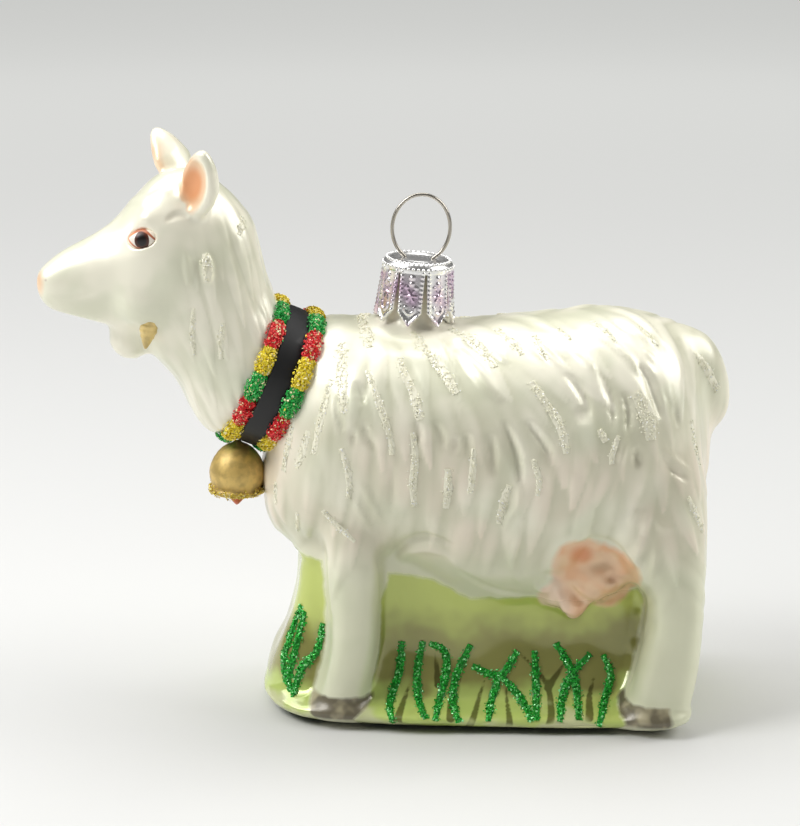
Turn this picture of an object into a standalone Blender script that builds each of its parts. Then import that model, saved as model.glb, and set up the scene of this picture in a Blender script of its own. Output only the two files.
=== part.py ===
"""A blown-glass Christmas ornament: a white nanny goat with collar and bell, standing on a green bank.

The ornament faces -X, its left side is -Y and up is +Z. The origin is the bottom centre of its bounding
box, on the surface it stands on. All the sizes below are in millimetres; to_metres centres the ornament
and scales it to BODY_LENGTH. The glass is shaped as one body, and then parted with thin cuts.
"""

import math
from typing import NamedTuple

import bmesh
import bpy
from mathutils import Matrix, Vector
from mathutils.bvhtree import BVHTree

# Driving dimensions.
BODY_LENGTH = 0.1134            # nose to tail, in metres
GAP = 0.3                       # clearance between neighbouring solids
PARTING = 0.6                   # clearance between the parts of the glass before they are thinned out
FIT = 0.7                       # how far a region reaches past the shape that it takes from the body
SIDES = ((-1, "left"), (1, "right"))
LIMB_SQUARE = 2.4               # squareness of the legs' sections
VOXEL = 0.8                     # grid of the body before it is thinned out
TRIANGLES = {"head": 1020, "neck": 410, "beard": 100, "tail": 170, "foreleg": 190, "hindleg": 250,
             "forehoof": 100, "hindhoof": 110, "udder": 350, "grass_bank": 840, "trunk": 1300, "ear": 200}
HEAD_YAW = math.radians(8.0)    # the head looks a little to its left
HEAD_PITCH = math.radians(1.5)  # and up
HEAD_PIVOT = Vector((-14.0, 0.0, 56.0))

# Cutting planes as (point, direction): what lies ahead of the direction is cut off.
COLLAR_PLANE = (Vector((-18.5, 0.0, 56.6)), Vector((-0.926, 0.0, 0.377)))
POLL_PLANE = (Vector((-31.3, 0.0, 71.5)), Vector((-0.879, 0.0, 0.477)))
CHIN_PLANE = (Vector((-42.0, 0.0, 63.4)), Vector((-0.26, 0.0, -0.966)))
BANK_PLANE = (Vector((15.0, 0.0, 24.0)), Vector((-0.067, 0.0, -0.998)))
TAIL_PLANE = (Vector((45.6, 0.0, 65.4)), Vector((0.9, 0.0, 0.436)))
NECK_TURN = (-13.0, -4.5)       # the turn of the neck grows between these distances from the collar

# The collar, as half-widths along the neck and heights over the glass.
BAND_HALF, BAND_THICK = 1.3, 0.5
TRIM_HALF, TRIM_THICK = 1.5, 0.9
TRIM_OFFSET = BAND_HALF + GAP + TRIM_HALF
RING_SIDES, RING_REACH = 28, 12.4   # no ring reaches further from the middle of the neck
RING_CLEARANCE = 0.12               # how far the glass is cut back where it would touch a ring

# The cap with its pike and wire.
CAP_X, CAP_TOP, CAP_HEIGHT = 4.5, 75.6, 10.2
CAP_RADIUS_TOP, CAP_RADIUS_RIM = 5.6, 6.55
CAP_WALL, PETALS, PETAL_TIP = 0.45, 8, 2.3
CAP_LEAN, CAP_TURN = math.radians(4.5), math.radians(-9.0)
PIKE_RADIUS, PIKE_TOP, PIKE_BORE, PIKE_DEPTH = 4.6, 74.2, 3.4, 8.0
WIRE_RADIUS, WIRE_FOOT = 0.3, 68.6
LOOP_HALF_WIDTH, LOOP_TOP, LOOP_STEPS, WIRE_SPREAD = 4.7, 86.0, 20, 2.2

# The bell, as (radius, height) from its crown to its mouth, and its clapper.
BELL_PLACE = Vector((-24.1, -0.8, 0.0))
BELL_PROFILE = ((0.8, 44.6), (1.8, 44.2), (3.2, 43.0), (4.2, 41.3), (4.6, 39.6), (4.4, 38.0), (4.1, 37.2),
                (4.4, 36.6), (4.2, 36.3))
CLAPPER_PROFILE = ((1.15, 35.9), (0.8, 35.2), (0.15, 34.4))

# Head furniture, placed before the head is turned: (side, foot, lean back in degrees) of each ear.
EARS = {"ear_left": (-1, Vector((-31.7, -6.4, 84.2)), 9.0),
        "ear_right": (1, Vector((-32.4, 6.4, 85.8)), -25.0)}
EAR_RADII, EAR_SPLAY, EAR_FACING = Vector((3.8, 1.9, 6.2)), 20.0, 45.0
EYE_PLACE, EYE_RADII, EYE_DETAIL = Vector((-39.9, 7.0, 80.0)), Vector((2.4, 1.5, 1.45)), (10, 6)
WATTLE_PLACE, WATTLE_LEAN = Vector((-39.2, 6.0, 61.8)), 0.35
WATTLE_PROFILE = ((1.4, 6.2), (1.8, 5.2), (1.6, 3.7), (1.15, 1.8), (0.6, 0.4), (0.15, 0.0))


class Section(NamedTuple):
    """A cross-section: its centre, lean back from upright, reach to the sides, up and down, and squareness.

    A squareness of 2 is an ellipse, and a higher one is a rounder or sharper box.
    """

    x: float
    y: float
    z: float
    lean: float
    side: float
    up: float
    down: float
    square: float = 2.12


def upright(rows):
    """Sections across the body from rows of (x, z, side, up, down)."""
    return [Section(x, 0.0, z, 0.0, side, up, down) for x, z, side, up, down in rows]


def level(rows, side):
    """Level sections of a limb on one side from rows of (z, front x, rear x, y, half width)."""
    return [Section((front + rear) / 2, side * y, z, 90.0, width, (rear - front) / 2, (rear - front) / 2,
                    LIMB_SQUARE) for z, front, rear, y, width in rows]


def between(rows):
    """Sections from rows of (lowest x, lowest z, highest x, highest z, half width)."""
    sections = []
    for x0, z0, x1, z1, side in rows:
        reach = math.hypot(x1 - x0, z1 - z0) / 2
        lean = -math.degrees(math.atan2(x1 - x0, z1 - z0))
        sections.append(Section((x0 + x1) / 2, 0.0, (z0 + z1) / 2, lean, side, reach, reach))
    return sections


TRUNK = upright((
    (-20.0, 37.7, 3.0, 3.0, 3.0), (-19.0, 38.7, 8.0, 6.5, 7.2), (-16.5, 43.0, 12.4, 15.0, 14.4),
    (-10.0, 45.0, 16.6, 20.4, 18.5), (0.0, 45.5, 18.6, 19.8, 20.0), (6.0, 45.5, 19.2, 19.1, 23.0),
    (12.0, 45.0, 19.5, 19.9, 27.5), (19.0, 45.0, 19.9, 20.7, 29.5), (26.0, 45.0, 20.2, 21.3, 28.5),
    (37.0, 45.5, 19.8, 21.7, 22.5), (45.0, 46.0, 17.2, 19.8, 20.0), (50.0, 46.0, 12.5, 16.5, 18.0),
    (53.0, 46.0, 6.5, 9.0, 10.0), (53.8, 46.0, 2.5, 4.0, 4.5)))

NECK = between((
    (-14.0, 33.0, -5.0, 61.0, 12.0), (-19.0, 44.0, -9.6, 64.8, 11.0), (-23.0, 45.4, -14.6, 66.4, 9.8),
    (-26.0, 45.9, -17.3, 67.6, 9.3), (-29.6, 47.3, -18.6, 70.4, 9.0), (-32.1, 50.8, -19.6, 73.0, 8.8),
    (-34.0, 55.0, -20.6, 77.0, 8.8), (-36.4, 57.6, -21.6, 81.2, 9.0), (-38.6, 60.4, -23.8, 84.8, 9.2),
    (-39.6, 62.0, -26.8, 87.6, 8.8)))

HEAD = between((
    (-38.8, 61.4, -25.4, 85.8, 8.6), (-39.6, 61.9, -27.8, 88.4, 9.2), (-40.8, 62.8, -31.2, 90.0, 9.3),
    (-42.2, 63.4, -35.2, 90.0, 8.9), (-43.9, 64.0, -38.4, 88.4, 8.1), (-45.6, 64.5, -41.4, 85.0, 6.9),
    (-47.6, 64.9, -44.6, 81.3, 5.9), (-50.6, 65.4, -49.0, 78.6, 4.9), (-53.3, 66.4, -52.8, 76.6, 4.0),
    (-55.5, 67.9, -55.5, 74.4, 3.0), (-56.7, 69.9, -56.8, 73.0, 1.5)))

TAIL = (
    Section(45.0, 0.0, 60.5, -10.0, 3.6, 4.8, 4.0), Section(50.0, 0.0, 58.6, -26.0, 4.8, 5.2, 5.0),
    Section(52.2, 0.0, 56.2, -50.0, 4.6, 4.6, 4.6), Section(53.3, 0.0, 52.4, -74.0, 4.2, 4.2, 4.2),
    Section(53.6, 0.0, 49.4, -86.0, 3.4, 3.4, 3.4), Section(53.8, 0.0, 46.6, -92.0, 1.6, 1.4, 1.6))

# Rows of (z, front x, rear x, y, half width) from the body down past the ground, where they are cut level.
FORELEG = ((42.0, -10.5, 1.5, 8.0, 6.0), (36.0, -10.6, 1.2, 10.0, 5.8), (30.0, -9.7, -0.2, 11.8, 5.0),
           (24.0, -9.2, -0.7, 12.3, 4.5), (14.0, -8.9, -0.9, 12.5, 4.3), (8.0, -10.1, -2.0, 12.7, 4.3),
           (4.0, -11.2, -3.0, 12.9, 4.3), (-2.0, -11.5, -3.4, 12.9, 4.3))
HINDLEG = ((50.0, 34.0, 50.5, 7.0, 8.0), (40.0, 33.0, 52.4, 9.6, 8.6), (32.0, 35.5, 53.0, 11.6, 8.0),
           (26.0, 40.0, 52.8, 12.8, 6.8), (21.0, 43.0, 52.3, 13.3, 6.0), (14.0, 42.3, 51.8, 14.4, 5.3),
           (7.0, 40.5, 51.0, 15.7, 5.3), (3.5, 39.0, 50.2, 16.2, 5.4), (-2.0, 38.7, 47.8, 16.4, 5.2))
HOOF_HEIGHTS = {"fore": 5.2, "hind": 5.0}
LEG_HEIGHTS = {"fore": 28.0, "hind": 31.0}

# Rows of (z, front x, rear x, half width, squareness) of the green bank.
BANK = ((-2.0, -18.0, 47.0, 14.0, 3.6), (2.0, -19.6, 48.2, 14.2, 3.4), (5.0, -20.2, 48.6, 13.6, 3.6),
        (8.5, -19.2, 48.0, 12.3, 4.2), (13.0, -16.6, 47.0, 11.3, 5.0), (20.0, -14.8, 46.0, 11.0, 5.0),
        (30.0, -14.5, 45.0, 11.4, 5.0))

# The rounded ledge round the foot of the bank, wider behind, as sections across it.
LEDGE = upright((
    (-19.6, 1.5, 6.0, 3.2, 3.6), (-17.5, 1.5, 11.8, 4.4, 3.6), (-12.5, 1.5, 16.4, 4.4, 3.6),
    (-3.0, 1.2, 18.4, 4.0, 3.2), (12.0, 1.2, 19.6, 4.0, 3.2), (28.0, 1.2, 20.6, 4.0, 3.2),
    (41.0, 1.2, 20.4, 4.0, 3.2), (47.0, 1.2, 15.5, 3.8, 3.2), (49.2, 1.2, 8.0, 3.0, 3.2)))

UDDER_CENTRE, UDDER_RADII, UDDER_SQUARE = Vector((34.9, 0.0, 25.6)), Vector((6.6, 16.4, 5.2)), 3.0
TEATS = (Vector((28.3, 13.2, 22.8)), Vector((31.6, 13.8, 20.5)))
TEAT_RADII, TEAT_LEAN = Vector((1.8, 1.8, 3.2)), 0.55


def catmull_rom(a, b, c, d, t):
    """The value at t between b and c of a smooth curve through a, b, c and d."""
    square, cube = 2 * a - 5 * b + 4 * c - d, 3 * b - a - 3 * c + d
    return b + 0.5 * ((c - a) * t + square * t ** 2 + cube * t ** 3)


def smoothed(sections, steps):
    """The sections with others between them, along smooth curves through all their values."""
    rows = []
    last = len(sections) - 1
    for i in range(last):
        four = [sections[min(max(k, 0), last)] for k in (i - 1, i, i + 1, i + 2)]
        for step in range(steps):
            rows.append(Section(*(catmull_rom(*values, step / steps) for values in zip(*four))))
    return rows + [sections[-1]]


def section_ring(section, sides, grow):
    """Points round a section."""
    lean = math.radians(section.lean)
    rise = Vector((-math.sin(lean), 0.0, math.cos(lean)))
    centre = Vector(section[:3])
    points = []
    for k in range(sides):
        c, s = math.cos(math.tau * k / sides), math.sin(math.tau * k / sides)
        power = 2 / section.square
        across = (section.side + grow) * math.copysign(abs(c) ** power, c)
        reach = (section.up if s >= 0 else section.down) + grow
        points.append(centre + Vector((0, across, 0)) + rise * reach * math.copysign(abs(s) ** power, s))
    return points


def loft(name, sections, steps=4, sides=32, grow=0.0):
    """A closed body through smooth rings of the sections."""
    mesh = bmesh.new()
    rings = [[mesh.verts.new(point) for point in section_ring(section, sides, grow)]
             for section in smoothed(sections, steps)]
    for one, two in zip(rings, rings[1:]):
        for k in range(sides):
            mesh.faces.new((one[k], one[k - 1], two[k - 1], two[k]))
    mesh.faces.new(rings[0])
    mesh.faces.new(reversed(rings[-1]))
    return as_object(name, mesh)


def bank_sections():
    """The green bank as level sections."""
    return [Section((front + rear) / 2, 0.0, z, 90.0, half, (rear - front) / 2, (rear - front) / 2, square)
            for z, front, rear, half, square in BANK]


def ellipsoid(name, centre, radii, turn=Matrix(), detail=(24, 14), grow=0.0):
    """An ellipsoid at a place, turned by a matrix."""
    mesh = bmesh.new()
    size = Matrix.Diagonal((*(r + grow for r in radii), 1.0))
    place = Matrix.Translation(centre) @ turn @ size
    bmesh.ops.create_uvsphere(mesh, u_segments=detail[0], v_segments=detail[1], radius=1.0, matrix=place)
    return as_object(name, mesh)


def turned(name, profile, place=Matrix(), sides=32, tube=False):
    """A body turned about its Z axis from a profile of (radius, z); a tube's profile is a closed loop."""
    mesh = bmesh.new()
    rings = [[mesh.verts.new((r * math.cos(math.tau * k / sides), r * math.sin(math.tau * k / sides), z))
              for k in range(sides)] for r, z in profile]
    for one, two in zip(rings, rings[1:] + rings[:1] if tube else rings[1:]):
        for k in range(sides):
            mesh.faces.new((one[k - 1], one[k], two[k], two[k - 1]))
    if not tube:
        mesh.faces.new(rings[0])
        mesh.faces.new(rings[-1])
    mesh.transform(place)
    return as_object(name, mesh)


def as_object(name, mesh):
    """A scene object from a bmesh, with all its faces pointing out."""
    bmesh.ops.recalc_face_normals(mesh, faces=mesh.faces)
    data = bpy.data.meshes.new(name)
    mesh.to_mesh(data)
    mesh.free()
    result = bpy.data.objects.new(name, data)
    bpy.context.collection.objects.link(result)
    return result


def discard(*objects):
    """Removes helper objects."""
    for item in objects:
        bpy.data.objects.remove(item)


def apply_modifier(target, kind, **settings):
    """Adds a modifier to the object, applies it and keeps the object's name."""
    modifier = target.modifiers.new(kind.title(), kind)
    for key, value in settings.items():
        setattr(modifier, key, value)
    bpy.context.view_layer.update()
    shape = target.evaluated_get(bpy.context.evaluated_depsgraph_get())
    data = bpy.data.meshes.new_from_object(shape)
    target.modifiers.clear()
    target.data = data


def boolean(target, operation, cutter):
    """Joins, cuts or intersects the target with a cutter, which is used up."""
    apply_modifier(target, "BOOLEAN", operation=operation, solver="EXACT", object=cutter)
    discard(cutter)
    mesh = bmesh.new()
    mesh.from_mesh(target.data)
    bmesh.ops.triangulate(mesh, faces=mesh.faces)
    mesh.to_mesh(target.data)
    mesh.free()
    return target


def copied(source, name):
    """A copy of an object with its own mesh."""
    result = source.copy()
    result.data = source.data.copy()
    result.name = name
    bpy.context.collection.objects.link(result)
    return result


def joined(name, objects):
    """One object that holds the bodies of several, still overlapping."""
    mesh = bmesh.new()
    for item in objects:
        mesh.from_mesh(item.data)
    discard(*objects)
    return as_object(name, mesh)


def block(name, plane, ahead=True, clearance=0.0, matrix=Matrix()):
    """A large block on one side of a plane, its face at a clearance from it."""
    point, direction = plane
    direction = direction.normalized() * (1 if ahead else -1)
    size = 300.0
    turn = direction.to_track_quat("Z", "Y").to_matrix().to_4x4()
    mesh = bmesh.new()
    place = matrix @ Matrix.Translation(point + direction * (size / 2 + clearance)) @ turn
    bmesh.ops.create_cube(mesh, size=size, matrix=place)
    return as_object(name, mesh)


def smoothstep(value, low, high):
    """Rises smoothly from 0 to 1 between low and high."""
    t = min(max((value - low) / (high - low), 0.0), 1.0)
    return t * t * (3 - 2 * t)


def head_turn(amount=1.0):
    """The matrix that turns the head by part of its yaw and pitch."""
    turn = Matrix.Rotation(amount * HEAD_YAW, 4, "Z") @ Matrix.Rotation(amount * HEAD_PITCH, 4, "Y")
    return Matrix.Translation(HEAD_PIVOT) @ turn @ Matrix.Translation(-HEAD_PIVOT)


def turn_head(body):
    """Turns the neck gradually, and the head all the way."""
    point, direction = COLLAR_PLANE
    for vertex in body.data.vertices:
        ahead = (vertex.co - point).dot(direction)
        if ahead > NECK_TURN[0]:
            vertex.co = head_turn(smoothstep(ahead, *NECK_TURN)) @ vertex.co


def thin_out(piece, triangles):
    """Thins the mesh of a piece to about a number of triangles; flat cuts and their edges stay."""
    count = sum(len(face.vertices) - 2 for face in piece.data.polygons)
    if count > triangles:
        apply_modifier(piece, "DECIMATE", ratio=triangles / count)
    return piece


def udder_shapes(grow=0.0, detail=(24, 14)):
    """The udder, a barrel from side to side, and two teats on each of its ends."""
    turn = Matrix.Rotation(math.radians(90), 4, "X")
    udder = ellipsoid("udder_form", Vector(), (1.0, 1.0, 1.0), turn, detail)
    for vertex in udder.data.vertices:
        barrel = max(1 - abs(vertex.co.y) ** UDDER_SQUARE, 0.0) ** (1 / UDDER_SQUARE)
        around = math.hypot(vertex.co.x, vertex.co.z) or 1.0
        vertex.co.x *= barrel / around
        vertex.co.z *= barrel / around
        vertex.co = UDDER_CENTRE + vertex.co * (UDDER_RADII + Vector((grow,) * 3))
    lean = Matrix.Rotation(TEAT_LEAN, 4, "Y")
    places = [Vector((teat.x, side * teat.y, teat.z)) for side, _ in SIDES for teat in TEATS]
    return [udder] + [ellipsoid("teat_form", place, TEAT_RADII, lean, detail, grow) for place in places]


def glass_body():
    """The whole glass shape: trunk, neck, head, legs, bank, udder and pike, blended as one."""
    shapes = [
        loft("trunk_form", TRUNK, sides=48), loft("neck_form", NECK), loft("head_form", HEAD),
        loft("tail_form", TAIL), loft("bank_form", bank_sections(), sides=64), loft("ledge_form", LEDGE),
        *udder_shapes(),
        ellipsoid("beard_form", Vector((-41.6, 0.0, 62.3)), Vector((3.7, 3.2, 3.8))),
        turned("pike_form", ((PIKE_RADIUS + 0.5, PIKE_TOP), (PIKE_RADIUS + 0.5, 60.0)), pike_place())]
    for side, _ in SIDES:
        shapes.append(loft("foreleg_form", level(FORELEG, side)))
        shapes.append(loft("hindleg_form", level(HINDLEG, side)))
        brow = Vector((-37.4, side * 6.2, 82.6))
        shapes.append(ellipsoid("brow_form", brow, Vector((3.6, 1.9, 1.7)), Matrix.Rotation(0.35, 4, "Y")))
        cheek = Vector((-38.5, side * 5.0, 70.0))
        shapes.append(ellipsoid("cheek_form", cheek, Vector((6.0, 3.9, 5.2))))
    body = joined("body", shapes)
    off_grid = Matrix.Translation(Vector((0.31, 0.43, 0.37)) * VOXEL)   # no cut lies in the grid
    body.data.transform(off_grid)
    apply_modifier(body, "REMESH", mode="VOXEL", voxel_size=VOXEL)
    body.data.transform(off_grid.inverted())
    apply_modifier(body, "SMOOTH", factor=0.5, iterations=4)
    turn_head(body)
    return body


def pike_place():
    """The matrix of the cap's and the pike's axis, which leans back a little."""
    foot = Vector((CAP_X, 0.0, 60.0))
    return Matrix.Translation(foot) @ Matrix.Rotation(CAP_LEAN, 4, "Y") @ Matrix.Translation((0, 0, -60.0))


def swollen(body, name, amount):
    """A copy of a body with its surface moved out."""
    result = copied(body, name)
    normals = [vertex.normal.copy() for vertex in result.data.vertices]
    for vertex, normal in zip(result.data.vertices, normals):
        vertex.co += normal * amount
    return result


def largest_piece(target):
    """Drops the slivers that a cut can leave beside the main piece."""
    mesh = bmesh.new()
    mesh.from_mesh(target.data)
    loose = set(mesh.verts)
    pieces = []
    while loose:
        piece, front = set(), [loose.pop()]
        while front:
            vertex = front.pop()
            piece.add(vertex)
            near = {edge.other_vert(vertex) for edge in vertex.link_edges} & loose
            loose -= near
            front.extend(near)
        pieces.append(piece)
    largest = max(pieces, key=len)
    bmesh.ops.delete(mesh, geom=[vertex for vertex in mesh.verts if vertex not in largest], context="VERTS")
    mesh.to_mesh(target.data)
    mesh.free()
    return target


def part_region(body, name, region):
    """Cuts a region out of the body as a node of its own, leaving a gap round it."""
    piece = boolean(copied(body, name), "INTERSECT", region(0.0))
    boolean(body, "DIFFERENCE", region(PARTING))
    largest_piece(body)
    return largest_piece(piece)


def limb_region(rows, side, top):
    """A function that makes the space of a limb below a height."""
    def make(grow):
        space = loft("space", level(rows, side), steps=1, sides=14, grow=FIT + grow)
        return boolean(space, "INTERSECT", block("below", (Vector((0, 0, top + grow)), Vector((0, 0, -1)))))
    return make


def plane_region(plane, matrix=Matrix()):
    """A function that makes the space ahead of a plane."""
    return lambda grow: block("space", plane, clearance=-grow, matrix=matrix)


def paint(target, colour, roughness=0.2, metallic=0.0, coat=0.0):
    """Gives an object its own material and smooth shading."""
    material = bpy.data.materials.new(target.name)
    material.use_nodes = True
    surface = material.node_tree.nodes["Principled BSDF"]
    surface.inputs["Base Color"].default_value = (*colour, 1.0)
    surface.inputs["Roughness"].default_value = roughness
    surface.inputs["Metallic"].default_value = metallic
    surface.inputs["Coat Weight"].default_value = coat
    target.data.materials.clear()
    target.data.materials.append(material)
    target.data.shade_smooth()
    target.data.set_sharp_from_angle(angle=math.radians(40))
    return target


def udder_region(grow):
    """The space of the udder and its teats."""
    space, *others = udder_shapes(FIT + grow, (12, 8))
    for other in others:
        boolean(space, "UNION", other)
    return space


def tail_region(grow):
    """The space of the tail behind the rump."""
    space = loft("space", TAIL, steps=1, sides=14, grow=FIT + grow)
    return boolean(space, "INTERSECT", block("behind", TAIL_PLANE, clearance=-grow))


def part_glass(body):
    """Parts the glass body into its nodes and returns them by name."""
    nodes = {"neck": part_region(body, "neck", plane_region(COLLAR_PLANE, head_turn()))}
    nodes["head"] = part_region(nodes["neck"], "head", plane_region(POLL_PLANE, head_turn()))
    nodes["beard"] = part_region(nodes["head"], "beard", plane_region(CHIN_PLANE, head_turn()))
    nodes["tail"] = part_region(body, "tail", tail_region)
    for side, word in SIDES:
        for limb, rows in (("fore", FORELEG), ("hind", HINDLEG)):
            leg = part_region(body, f"{limb}leg_{word}", limb_region(rows, side, LEG_HEIGHTS[limb]))
            sole = Vector((0, 0, HOOF_HEIGHTS[limb])), Vector((0, 0, -1))
            nodes[f"{limb}hoof_{word}"] = part_region(leg, f"{limb}hoof_{word}", plane_region(sole))
            nodes[leg.name] = leg
    nodes["udder"] = part_region(body, "udder", udder_region)
    nodes["grass_bank"] = part_region(body, "grass_bank", plane_region(BANK_PLANE))
    body.name = "trunk"
    nodes["trunk"] = body
    return nodes


def bore_pike(trunk):
    """Trims the glass neck that carries the cap, seats the cap's rim and bores the neck for its wire."""
    rim = CAP_TOP - CAP_HEIGHT - GAP
    seat = ((PIKE_RADIUS, 90.0), (9.0, 90.0), (CAP_RADIUS_RIM + 0.6, rim), (PIKE_RADIUS, rim))
    boolean(trunk, "DIFFERENCE", turned("seat", seat, pike_place(), tube=True))
    bore = ((PIKE_BORE, 90.0), (PIKE_BORE, PIKE_TOP - PIKE_DEPTH))
    return boolean(trunk, "DIFFERENCE", turned("bore", bore, pike_place(), sides=24))


def set_eyes(head):
    """The eyes, each an almond of glass in a socket of the head."""
    eyes = {}
    for side, word in SIDES:
        place = head_turn() @ Matrix.Translation((EYE_PLACE.x, side * EYE_PLACE.y, EYE_PLACE.z))
        turn = place @ Matrix.Rotation(side * 0.28, 4, "Z") @ Matrix.Rotation(-0.25, 4, "Y")
        boolean(head, "DIFFERENCE", ellipsoid("socket", Vector(), EYE_RADII, turn, EYE_DETAIL, GAP))
        eyes[f"eye_{word}"] = ellipsoid(f"eye_{word}", Vector(), EYE_RADII, turn, EYE_DETAIL)
    return eyes


def ear(name, around):
    """A leaf-shaped ear, hollowed on the side that faces out and ahead, standing on the head."""
    side, foot, lean = EARS[name]
    shape = ellipsoid(name, Vector(), EAR_RADII, detail=(18, 12))
    for vertex in shape.data.vertices:
        height = vertex.co.z / EAR_RADII.z
        vertex.co.x *= 1.0 - 0.3 * max(height, 0.0)
        vertex.co.y -= 0.8 * height * height
    scoop = Vector((EAR_RADII.x - 1.0, EAR_RADII.y - 0.3, EAR_RADII.z - 1.5))
    boolean(shape, "DIFFERENCE", ellipsoid("scoop", Vector((0.0, -2.0, 0.2)), scoop, detail=(14, 8)))
    facing = Matrix.Rotation(math.radians(-90.0 - side * EAR_FACING), 4, "Z")
    splay = Matrix.Rotation(-side * math.radians(EAR_SPLAY), 4, "X")
    stance = Matrix.Rotation(math.radians(lean), 4, "Y") @ splay
    lift = Matrix.Translation((0.0, 0.0, EAR_RADII.z - 1.0))
    shape.data.transform(head_turn() @ Matrix.Translation(foot) @ stance @ lift @ facing)
    boolean(shape, "DIFFERENCE", copied(around, "around"))
    return thin_out(largest_piece(shape), TRIANGLES["ear"])


def wattle(side, word, around):
    """A ringed wattle, hanging beside the beard."""
    place = Matrix.Translation((WATTLE_PLACE.x, side * WATTLE_PLACE.y, WATTLE_PLACE.z))
    lean = Matrix.Rotation(WATTLE_LEAN, 4, "Y")
    shape = turned(f"wattle_{word}", WATTLE_PROFILE, head_turn() @ place @ lean, sides=12)
    boolean(shape, "DIFFERENCE", copied(around, "around"))
    return largest_piece(shape)


def ring_radii(tree, offset):
    """Distances from the middle of the neck out to the glass, round a plane beside the collar plane."""
    point, direction = COLLAR_PLANE
    direction = direction.normalized()
    rise = Vector((direction.z, 0.0, -direction.x))
    origin = head_turn() @ (point + direction * offset)
    ways = [head_turn().to_3x3() @ (Vector((0.0, math.cos(angle), 0.0)) + rise * math.sin(angle))
            for angle in (math.tau * k / RING_SIDES for k in range(RING_SIDES))]
    reach = [min(tree.ray_cast(origin, way)[3], RING_REACH) for way in ways]
    even = [(reach[k - 1] + 2 * reach[k] + reach[(k + 1) % RING_SIDES]) / 4 for k in range(RING_SIDES)]
    return origin, ways, even


def collar_ring(name, tree, offset, half, heights, grow=0.0):
    """A ring round the neck that hugs the glass, its outer side at the given heights over it."""
    inner, outer = [], []
    for k, height in enumerate(heights):
        along = offset + (half + grow) * (2 * k / (len(heights) - 1) - 1)
        origin, ways, reach = ring_radii(tree, along)
        inner.append([origin + way * (r + GAP - grow) for way, r in zip(ways, reach)])
        outer.append([origin + way * (r + GAP + height + grow) for way, r in zip(ways, reach)])
    mesh = bmesh.new()
    rows = [[mesh.verts.new(point) for point in row] for row in outer + [inner[-1], inner[0]]]
    for one, two in zip(rows, rows[1:] + rows[:1]):
        for k in range(RING_SIDES):
            mesh.faces.new((one[k - 1], one[k], two[k], two[k - 1]))
    return as_object(name, mesh)


def collar(tree, grow=0.0):
    """The black band and the two glitter trims beside it."""
    dome = [TRIM_THICK * part for part in (0.55, 1.0, 0.55)]
    rings = {"collar_band": (0.0, BAND_HALF, [BAND_THICK] * 2),
             "collar_trim_upper": (TRIM_OFFSET, TRIM_HALF, dome),
             "collar_trim_lower": (-TRIM_OFFSET, TRIM_HALF, dome)}
    return {name: collar_ring(name, tree, *ring, grow) for name, ring in rings.items()}


def bell(around, tree):
    """The bell under the collar, and the clapper below its mouth."""
    place = head_turn() @ Matrix.Translation(BELL_PLACE)
    shape = turned("bell", BELL_PROFILE, place, sides=16)
    boolean(shape, "DIFFERENCE", copied(around, "around"))
    for ring in collar(tree, GAP).values():
        boolean(shape, "DIFFERENCE", ring)
    clapper = turned("bell_clapper", CLAPPER_PROFILE, place, sides=10)
    return {"bell": largest_piece(shape), "bell_clapper": clapper}


def wire_route():
    """The wire's middle line: up one leg, round the loop and down the other leg."""
    half_height = (LOOP_TOP - CAP_TOP) / (1 + math.sqrt(1 - (WIRE_SPREAD / LOOP_HALF_WIDTH) ** 2))
    middle = LOOP_TOP - half_height
    start = math.asin(WIRE_SPREAD / LOOP_HALF_WIDTH)
    sweep = math.tau - 2 * start
    turns = [start + sweep * (k + 0.5) / LOOP_STEPS for k in range(LOOP_STEPS)]
    arch = [(-LOOP_HALF_WIDTH * math.sin(a), middle - half_height * math.cos(a)) for a in turns]
    foot, bend = (-WIRE_SPREAD - 0.4, WIRE_FOOT), (-WIRE_SPREAD - 0.15, CAP_TOP - 2.0)
    leg = [foot, bend, (-WIRE_SPREAD, CAP_TOP - 0.3)]
    return leg + arch + [(-x, z) for x, z in leg[::-1]]


def wire(name, grow=0.0):
    """The wire loop that hangs the ornament, its two legs sprung into the glass neck."""
    curve = bpy.data.curves.new(name, "CURVE")
    curve.dimensions = "3D"
    route = wire_route()
    line = curve.splines.new("POLY")
    line.points.add(len(route) - 1)
    for point, (x, z) in zip(line.points, route):
        point.co = (*(pike_place() @ Vector((x, 0.0, z))), 1.0)
    curve.bevel_depth = WIRE_RADIUS + grow
    curve.bevel_resolution = 1
    curve.use_fill_caps = True
    guide = bpy.data.objects.new("guide", curve)
    bpy.context.collection.objects.link(guide)
    bpy.context.view_layer.update()
    data = bpy.data.meshes.new_from_object(guide.evaluated_get(bpy.context.evaluated_depsgraph_get()))
    discard(guide)
    result = bpy.data.objects.new(name, data)
    bpy.context.collection.objects.link(result)
    return result


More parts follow.
